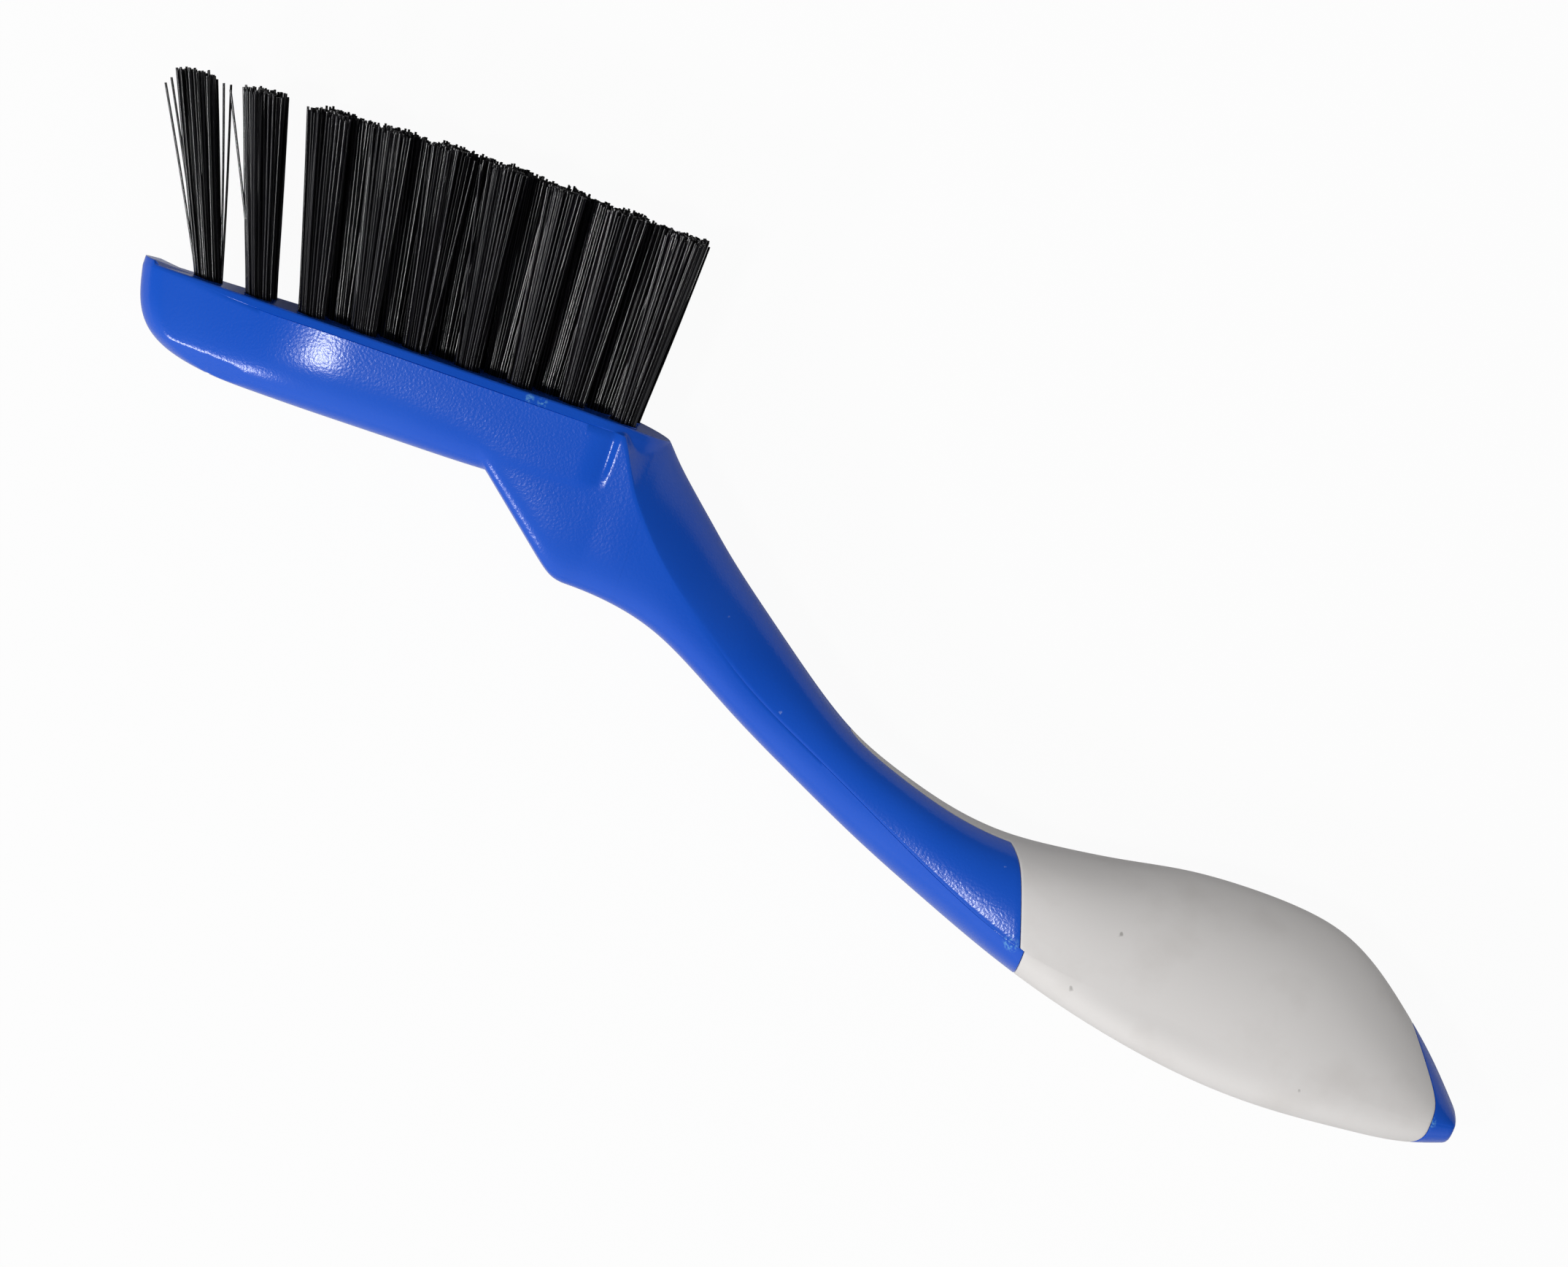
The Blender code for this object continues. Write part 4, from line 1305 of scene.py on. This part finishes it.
def add_node(
        tree: bpy.types.NodeTree, kind: str, settings: dict | None = None,
        links: dict | None = None) -> bpy.types.Node:
    """Adds a node with its settings and links.

    Args:
        tree: Node tree that gets the node.
        kind: Blender's name of the node type.
        settings: Values of inputs, by name or number, and of the node's own properties, by name.
        links: Output sockets that feed its inputs, by the input's name or number.

    Returns:
        The node.
    """
    node = tree.nodes.new(kind)
    for name, value in (settings or {}).items():
        if isinstance(name, str) and hasattr(node, name):
            setattr(node, name, value)
    for name, value in (settings or {}).items():
        if not isinstance(name, str) or not hasattr(node, name):
            node.inputs[name].default_value = value
    for name, socket in (links or {}).items():
        tree.links.new(socket, node.inputs[name])
    return node


@dataclass(frozen=True)
class Pattern:
    """Noise that counts as nothing up to a low value and as its full share from a high one on.

    The spacing is how far its grains lie apart, in millimetres, and the detail is how many finer layers
    of noise it has.
    """

    spacing: float
    detail: float
    low: float
    high: float
    share: float


@dataclass(frozen=True)
class Finish:
    """Base of every finish: makes a material with one Principled shader."""

    def material(self) -> bpy.types.Material:
        """Makes the material and lets the finish wire its shader.

        Returns:
            The material, named after its class.
        """
        made = bpy.data.materials.new(type(self).__name__)
        made.use_nodes = True
        tree = made.node_tree
        self.wire(tree, tree.nodes["Principled BSDF"])
        return made

    def wire(self, tree: bpy.types.NodeTree, shader: bpy.types.Node) -> None:
        """Sets the shader's values and patterns."""
        raise NotImplementedError

    @staticmethod
    def speckle(tree: bpy.types.NodeTree, spacing: float, detail: float = 2.0) -> bpy.types.NodeSocket:
        """Noise whose grains lie about a spacing apart, in millimetres.

        Args:
            tree: The material's node tree.
            spacing: Distance between the grains.
            detail: How many finer layers it has.

        Returns:
            Socket with the noise, from zero to one.
        """
        place = add_node(tree, "ShaderNodeTexCoord").outputs["Object"]
        noise = add_node(
            tree, "ShaderNodeTexNoise", {"Scale": 1 / (spacing * MM), "Detail": detail}, {"Vector": place})
        return noise.outputs["Fac"]

    @classmethod
    def patches(cls, tree: bpy.types.NodeTree, pattern: Pattern) -> bpy.types.NodeSocket:
        """How much of a pattern there is at each point, from zero to its share.

        Args:
            tree: The material's node tree.
            pattern: The pattern.

        Returns:
            Socket with that amount.
        """
        noise = cls.speckle(tree, pattern.spacing, pattern.detail)
        limits = {"From Min": pattern.low, "From Max": pattern.high, "To Max": pattern.share}
        return add_node(tree, "ShaderNodeMapRange", limits, {"Value": noise}).outputs[0]

    @classmethod
    def relief(
            cls, tree: bpy.types.NodeTree, spacing: float, depth: float,
            strength: float = 1.0) -> bpy.types.NodeSocket:
        """The surface's direction on a fine grain, from its spacing and depth in millimetres.

        Args:
            tree: The material's node tree.
            spacing: Distance between the grains.
            depth: Depth of the grain.
            strength: How much of the depth shows.

        Returns:
            Socket with the direction.
        """
        height = cls.speckle(tree, spacing, detail=1.0)
        settings = {"Strength": strength, "Distance": depth * MM}
        return add_node(tree, "ShaderNodeBump", settings, {"Height": height}).outputs[0]


@dataclass(frozen=True)
class MouldedPolypropylene(Finish):
    """Blue polypropylene, injection moulded in an eroded mould: a satin gloss that breaks into sparkles.

    Marks are places where a thin flash of plastic has gone pale: x, y, z and radius in millimetres.
    """

    place: BrushFrame
    marks: tuple[tuple[float, float, float, float], ...] = (
        (62.6, 0.0, 10.2, 0.8), (64.6, 0.0, 10.2, 0.9), (157.2, -52.7, 11.0, 1.5), (225.6, -57.4, 7.8, 1.3),
    )
    colour: str = "#0B53CB"
    cloud_colour: str = "#2B66D8"
    dust_colour: str = "#9FB6EE"
    mark_colour: str = "#6FB2E4"
    clouds: Pattern = Pattern(28.0, 2.0, 0.35, 0.65, 0.22)
    dust: Pattern = Pattern(1.9, 3.0, 0.755, 0.80, 0.55)
    flakes: Pattern = Pattern(0.45, 1.0, 0.45, 0.60, 0.6)
    roughness: float = 0.192
    refraction: float = 1.42
    grain_spacing: float = 0.42
    grain_depth: float = 0.022

    def wire(self, tree: bpy.types.NodeTree, shader: bpy.types.Node) -> None:
        """Mixes the pigment's faint clouds, pale dust and flaky marks, and lays the mould's grain as bump.

        Args:
            tree: The material's node tree.
            shader: Its Principled shader.
        """
        pigment = add_node(tree, "ShaderNodeMix",
                           {"data_type": "RGBA", 6: linear(self.colour), 7: linear(self.cloud_colour)},
                           {0: self.patches(tree, self.clouds)})
        dusty = add_node(tree, "ShaderNodeMix", {"data_type": "RGBA", 7: linear(self.dust_colour)},
                         {0: self.patches(tree, self.dust), 6: pigment.outputs[2]})
        pale = add_node(tree, "ShaderNodeMath", {"operation": "MULTIPLY"},
                        {0: self.mark_mask(tree), 1: self.patches(tree, self.flakes)})
        marked = add_node(tree, "ShaderNodeMix", {"data_type": "RGBA", 7: linear(self.mark_colour)},
                          {0: pale.outputs[0], 6: dusty.outputs[2]})
        tree.links.new(marked.outputs[2], shader.inputs["Base Color"])
        grain = self.relief(tree, self.grain_spacing, self.grain_depth)
        tree.links.new(grain, shader.inputs["Normal"])
        shader.inputs["Roughness"].default_value = self.roughness
        shader.inputs["IOR"].default_value = self.refraction

    def mark_mask(self, tree: bpy.types.NodeTree) -> bpy.types.NodeSocket:
        """One inside the pale marks, falling to zero at their radius.

        Args:
            tree: The material's node tree.

        Returns:
            Socket with the mask.
        """
        where = add_node(tree, "ShaderNodeTexCoord").outputs["Object"]
        mask = None
        for x, y, z, radius in self.marks:
            centre = tuple(self.place.world(np.array((x, y, z))).tolist())
            gap = add_node(tree, "ShaderNodeVectorMath", {"operation": "DISTANCE", 1: centre}, {0: where})
            edge = {"From Min": radius * MM / 2, "From Max": radius * MM, "To Min": 1.0, "To Max": 0.0}
            spot = add_node(tree, "ShaderNodeMapRange", edge, {"Value": gap.outputs["Value"]}).outputs[0]
            if mask is not None:
                both = {0: mask, 1: spot}
                spot = add_node(tree, "ShaderNodeMath", {"operation": "MAXIMUM"}, both).outputs[0]
            mask = spot
        return mask


@dataclass(frozen=True)
class SoftTouchRubber(Finish):
    """Grey thermoplastic rubber, moulded over the handle: matt, with faint scuffs and a few dark specks."""

    colour: str = "#E4E1DF"
    scuff_colour: str = "#DAD6D3"
    speck_colour: str = "#A29F9B"
    scuffs: Pattern = Pattern(9.0, 4.0, 0.5, 0.72, 0.6)
    specks: Pattern = Pattern(3.4, 2.0, 0.765, 0.80, 0.8)
    roughness: float = 0.62
    refraction: float = 1.5
    skin_spacing: float = 0.45
    skin_depth: float = 0.008
    skin_strength: float = 0.7

    def wire(self, tree: bpy.types.NodeTree, shader: bpy.types.Node) -> None:
        """Mixes broad scuffs and rare specks into the colour and gives the skin a fine matt bump.

        Args:
            tree: The material's node tree.
            shader: Its Principled shader.
        """
        worn = add_node(tree, "ShaderNodeMix",
                        {"data_type": "RGBA", 6: linear(self.colour), 7: linear(self.scuff_colour)},
                        {0: self.patches(tree, self.scuffs)})
        marked = add_node(tree, "ShaderNodeMix", {"data_type": "RGBA", 7: linear(self.speck_colour)},
                          {0: self.patches(tree, self.specks), 6: worn.outputs[2]})
        tree.links.new(marked.outputs[2], shader.inputs["Base Color"])
        skin = self.relief(tree, self.skin_spacing, self.skin_depth, self.skin_strength)
        tree.links.new(skin, shader.inputs["Normal"])
        shader.inputs["Roughness"].default_value = self.roughness
        shader.inputs["IOR"].default_value = self.refraction


@dataclass(frozen=True)
class NylonFilament(Finish):
    """Black nylon, drawn into filament: near black with a satin streak down each strand."""

    dark_colour: str = "#08080A"
    light_colour: str = "#18171E"
    roughness: float = 0.17
    refraction: float = 1.53
    least_gloss: float = 0.04
    most_gloss: float = 1.0

    def wire(self, tree: bpy.types.NodeTree, shader: bpy.types.Node) -> None:
        """Gives each strand its own grey and its own gloss from the strand attribute.

        Args:
            tree: The material's node tree.
            shader: Its Principled shader.
        """
        strand = add_node(tree, "ShaderNodeAttribute", {"attribute_name": "filament"})
        grey = add_node(tree, "ShaderNodeMix",
                        {"data_type": "RGBA", 6: linear(self.dark_colour), 7: linear(self.light_colour)},
                        {0: strand.outputs["Fac"]})
        tree.links.new(grey.outputs[2], shader.inputs["Base Color"])
        gloss = add_node(tree, "ShaderNodeMapRange", {"To Min": self.least_gloss, "To Max": self.most_gloss},
                         {"Value": strand.outputs["Fac"]})
        tree.links.new(gloss.outputs[0], shader.inputs["Specular IOR Level"])
        shader.inputs["Roughness"].default_value = self.roughness
        shader.inputs["IOR"].default_value = self.refraction


@dataclass(frozen=True)
class FlatSteelWire(Finish):
    """Tinned steel wire, rolled flat and cut: a bright metal, unevenly smooth."""

    colour: str = "#C9C7C1"
    least_roughness: float = 0.29
    most_roughness: float = 0.45
    roughness_spacing: float = 0.2

    def wire(self, tree: bpy.types.NodeTree, shader: bpy.types.Node) -> None:
        """Varies the roughness a little over the wire.

        Args:
            tree: The material's node tree.
            shader: Its Principled shader.
        """
        rolled = add_node(tree, "ShaderNodeMapRange",
                          {"To Min": self.least_roughness, "To Max": self.most_roughness},
                          {"Value": self.speckle(tree, self.roughness_spacing)})
        tree.links.new(rolled.outputs[0], shader.inputs["Roughness"])
        shader.inputs["Base Color"].default_value = linear(self.colour)
        shader.inputs["Metallic"].default_value = 1.0


@dataclass(frozen=True)
class Gradient:
    """Brightness of the room, which runs from one level to another between two headings along Y."""

    from_heading: float
    to_heading: float
    from_level: float
    to_level: float

    def level(self, tree: bpy.types.NodeTree, heading: bpy.types.NodeSocket) -> bpy.types.NodeSocket:
        """Brightness at a heading, held at the end levels past the two headings.

        Args:
            tree: The world's node tree.
            heading: Socket with the Y part of the direction.

        Returns:
            Socket with the brightness.
        """
        limits = {
            "From Min": self.from_heading, "From Max": self.to_heading,
            "To Min": self.from_level, "To Max": self.to_level,
        }
        return add_node(tree, "ShaderNodeMapRange", limits, {"Value": heading}).outputs[0]


@dataclass(frozen=True)
class RoundLamp:
    """A round soft lamp that faces the brush.

    The way points from the brush's middle to the lamp. Distance and diameter are in millimetres, and
    the power is in watts.
    """

    kind: Lamp
    way: tuple[float, float, float]
    distance: float
    diameter: float
    power: float


@dataclass
class Studio:
    """Camera, lamps, world and floor of the picture. The scale is in millimetres a pixel."""

    place: BrushFrame
    image_width: int = 2149
    scale: float = 0.110
    distance: float = 750.0
    roll: float = radians(19.73)
    tilt: float = radians(6.3)
    target: tuple[float, float, float] = (109.8, -21.4, 0.0)
    sensor: float = 36.0
    nearest_seen: float = 10.0
    mirrored: Gradient = Gradient(-0.8, -0.2, 0.9, 0.08)
    scattered: Gradient = Gradient(-0.3, 0.8, 0.63, 0.175)
    floor_half: float = 2000.0
    floor_colour: str = "#D6D6D6"
    floor_glow: float = 0.95
    lamps: tuple[RoundLamp, ...] = (
        RoundLamp(Lamp.SPARKLE, (-0.325, -0.13, 0.937), 1300.0, 150.0, 4.2),
        RoundLamp(Lamp.UNDERSIDE, (-0.60, -0.58, 0.55), 900.0, 160.0, 2.2),
    )

    def build(self) -> None:
        """Makes everything around the brush."""
        self.camera()
        self.world()
        self.floor()
        for lamp in self.lamps:
            self.hang(lamp)

    def camera(self) -> None:
        """Looks down on the brush, tilted toward the bristles and rolled so the face falls to the right."""
        out = Vector((0.0, sin(self.tilt), cos(self.tilt)))
        right = Vector((cos(self.roll), sin(self.roll), 0.0))
        right = (right - out * right.dot(out)).normalized()
        up = out.cross(right)
        where = Vector(self.place.world(np.array(self.target))) + out * self.distance * MM
        data = bpy.data.cameras.new("camera")
        data.sensor_width = self.sensor
        data.lens = self.sensor * self.distance / (self.scale * self.image_width)
        data.clip_start = self.nearest_seen * MM
        camera = bpy.data.objects.new("camera", data)
        camera.matrix_world = Matrix.Translation(where) @ Matrix((right, up, out)).transposed().to_4x4()
        bpy.context.scene.collection.objects.link(camera)
        bpy.context.scene.camera = camera

    def world(self) -> None:
        """White past the brush; in reflections and as soft light brighter below the brush than above it."""
        world = bpy.data.worlds.new("studio")
        world.use_nodes = True
        tree = world.node_tree
        background = tree.nodes["Background"]
        way = add_node(tree, "ShaderNodeTexCoord").outputs["Generated"]
        heading = add_node(tree, "ShaderNodeSeparateXYZ", links={"Vector": way}).outputs["Y"]
        mirrored, scattered = self.mirrored.level(tree, heading), self.scattered.level(tree, heading)
        path = add_node(tree, "ShaderNodeLightPath")
        sockets = {0: path.outputs["Is Glossy Ray"], 2: scattered, 3: mirrored}
        lit = add_node(tree, "ShaderNodeMix", links=sockets)
        level = add_node(tree, "ShaderNodeMath", {"operation": "MAXIMUM"},
                         {0: path.outputs["Is Camera Ray"], 1: lit.outputs[0]})
        tree.links.new(level.outputs[0], background.inputs["Strength"])
        background.inputs["Color"].default_value = WHITE
        bpy.context.scene.world = world

    def floor(self) -> None:
        """A pale floor under the brush that looks white and keeps a faint shadow."""
        half = self.floor_half * MM
        mesh = bpy.data.meshes.new("floor")
        corners = [(-half, -half, 0.0), (half, -half, 0.0), (half, half, 0.0), (-half, half, 0.0)]
        mesh.from_pydata(corners, [], [(0, 1, 2, 3)])
        floor = bpy.data.objects.new("floor", mesh)
        bpy.context.scene.collection.objects.link(floor)
        paper = bpy.data.materials.new("white_paper")
        paper.use_nodes = True
        tree = paper.node_tree
        tree.nodes.clear()
        seen = add_node(tree, "ShaderNodeLightPath").outputs["Is Camera Ray"]
        share = add_node(tree, "ShaderNodeMath", {"operation": "MULTIPLY", 1: self.floor_glow}, {0: seen})
        sheet = add_node(tree, "ShaderNodeBsdfDiffuse", {"Color": linear(self.floor_colour)}).outputs[0]
        glow = add_node(tree, "ShaderNodeEmission", {"Color": WHITE}).outputs[0]
        mixed = add_node(tree, "ShaderNodeMixShader", links={0: share.outputs[0], 1: sheet, 2: glow})
        add_node(tree, "ShaderNodeOutputMaterial", links={"Surface": mixed.outputs[0]})
        mesh.materials.append(paper)

    def hang(self, lamp: RoundLamp) -> None:
        """Hangs a lamp at its distance from the brush and turns it to face the brush.

        Args:
            lamp: The lamp.
        """
        data = bpy.data.lights.new(lamp.kind.value, "AREA")
        data.shape = "DISK"
        data.size = lamp.diameter * MM
        data.energy = lamp.power
        hung = bpy.data.objects.new(lamp.kind.value, data)
        out = Vector(lamp.way).normalized()
        where = Vector(self.place.world(np.array(self.target))) + out * lamp.distance * MM
        hung.matrix_world = Matrix.Translation(where) @ out.to_track_quat("Z", "Y").to_matrix().to_4x4()
        bpy.context.scene.collection.objects.link(hung)


def main() -> None:
    """Builds every piece in order."""
    logging.basicConfig(level=logging.INFO, format="%(name)s: %(message)s")
    head = HeadForm()
    place = BrushFrame.from_body(head.nose_start, head.lip_height)
    bpy.context.scene.view_settings.view_transform = "Standard"
    field_of_tufts = TuftField(place, head)
    moulding = Moulding(place, head=head)
    blue = MouldedPolypropylene(place).material()
    dress("moulding", moulding.build(field_of_tufts), blue, "blue_plastic", "body")
    dress("soft_sleeve", SoftSleeve(moulding).build(), SoftTouchRubber().material(), "soft_grey", "grip")
    nylon = NylonFilament().material()
    for number, tuft in enumerate(field_of_tufts.tufts()):
        bristles = field_of_tufts.tuft_mesh(tuft, number)
        dress(tuft.node.replace("tuft", "bristles"), bristles, nylon, "black_nylon", tuft.node)
    steel = FlatSteelWire().material()
    for name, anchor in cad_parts.items():
        if name.startswith("anchor_"):
            anchor.data.materials.clear()
            anchor.data.materials.append(steel)
    Studio(place).build()


if __name__ == "__main__":
    main()
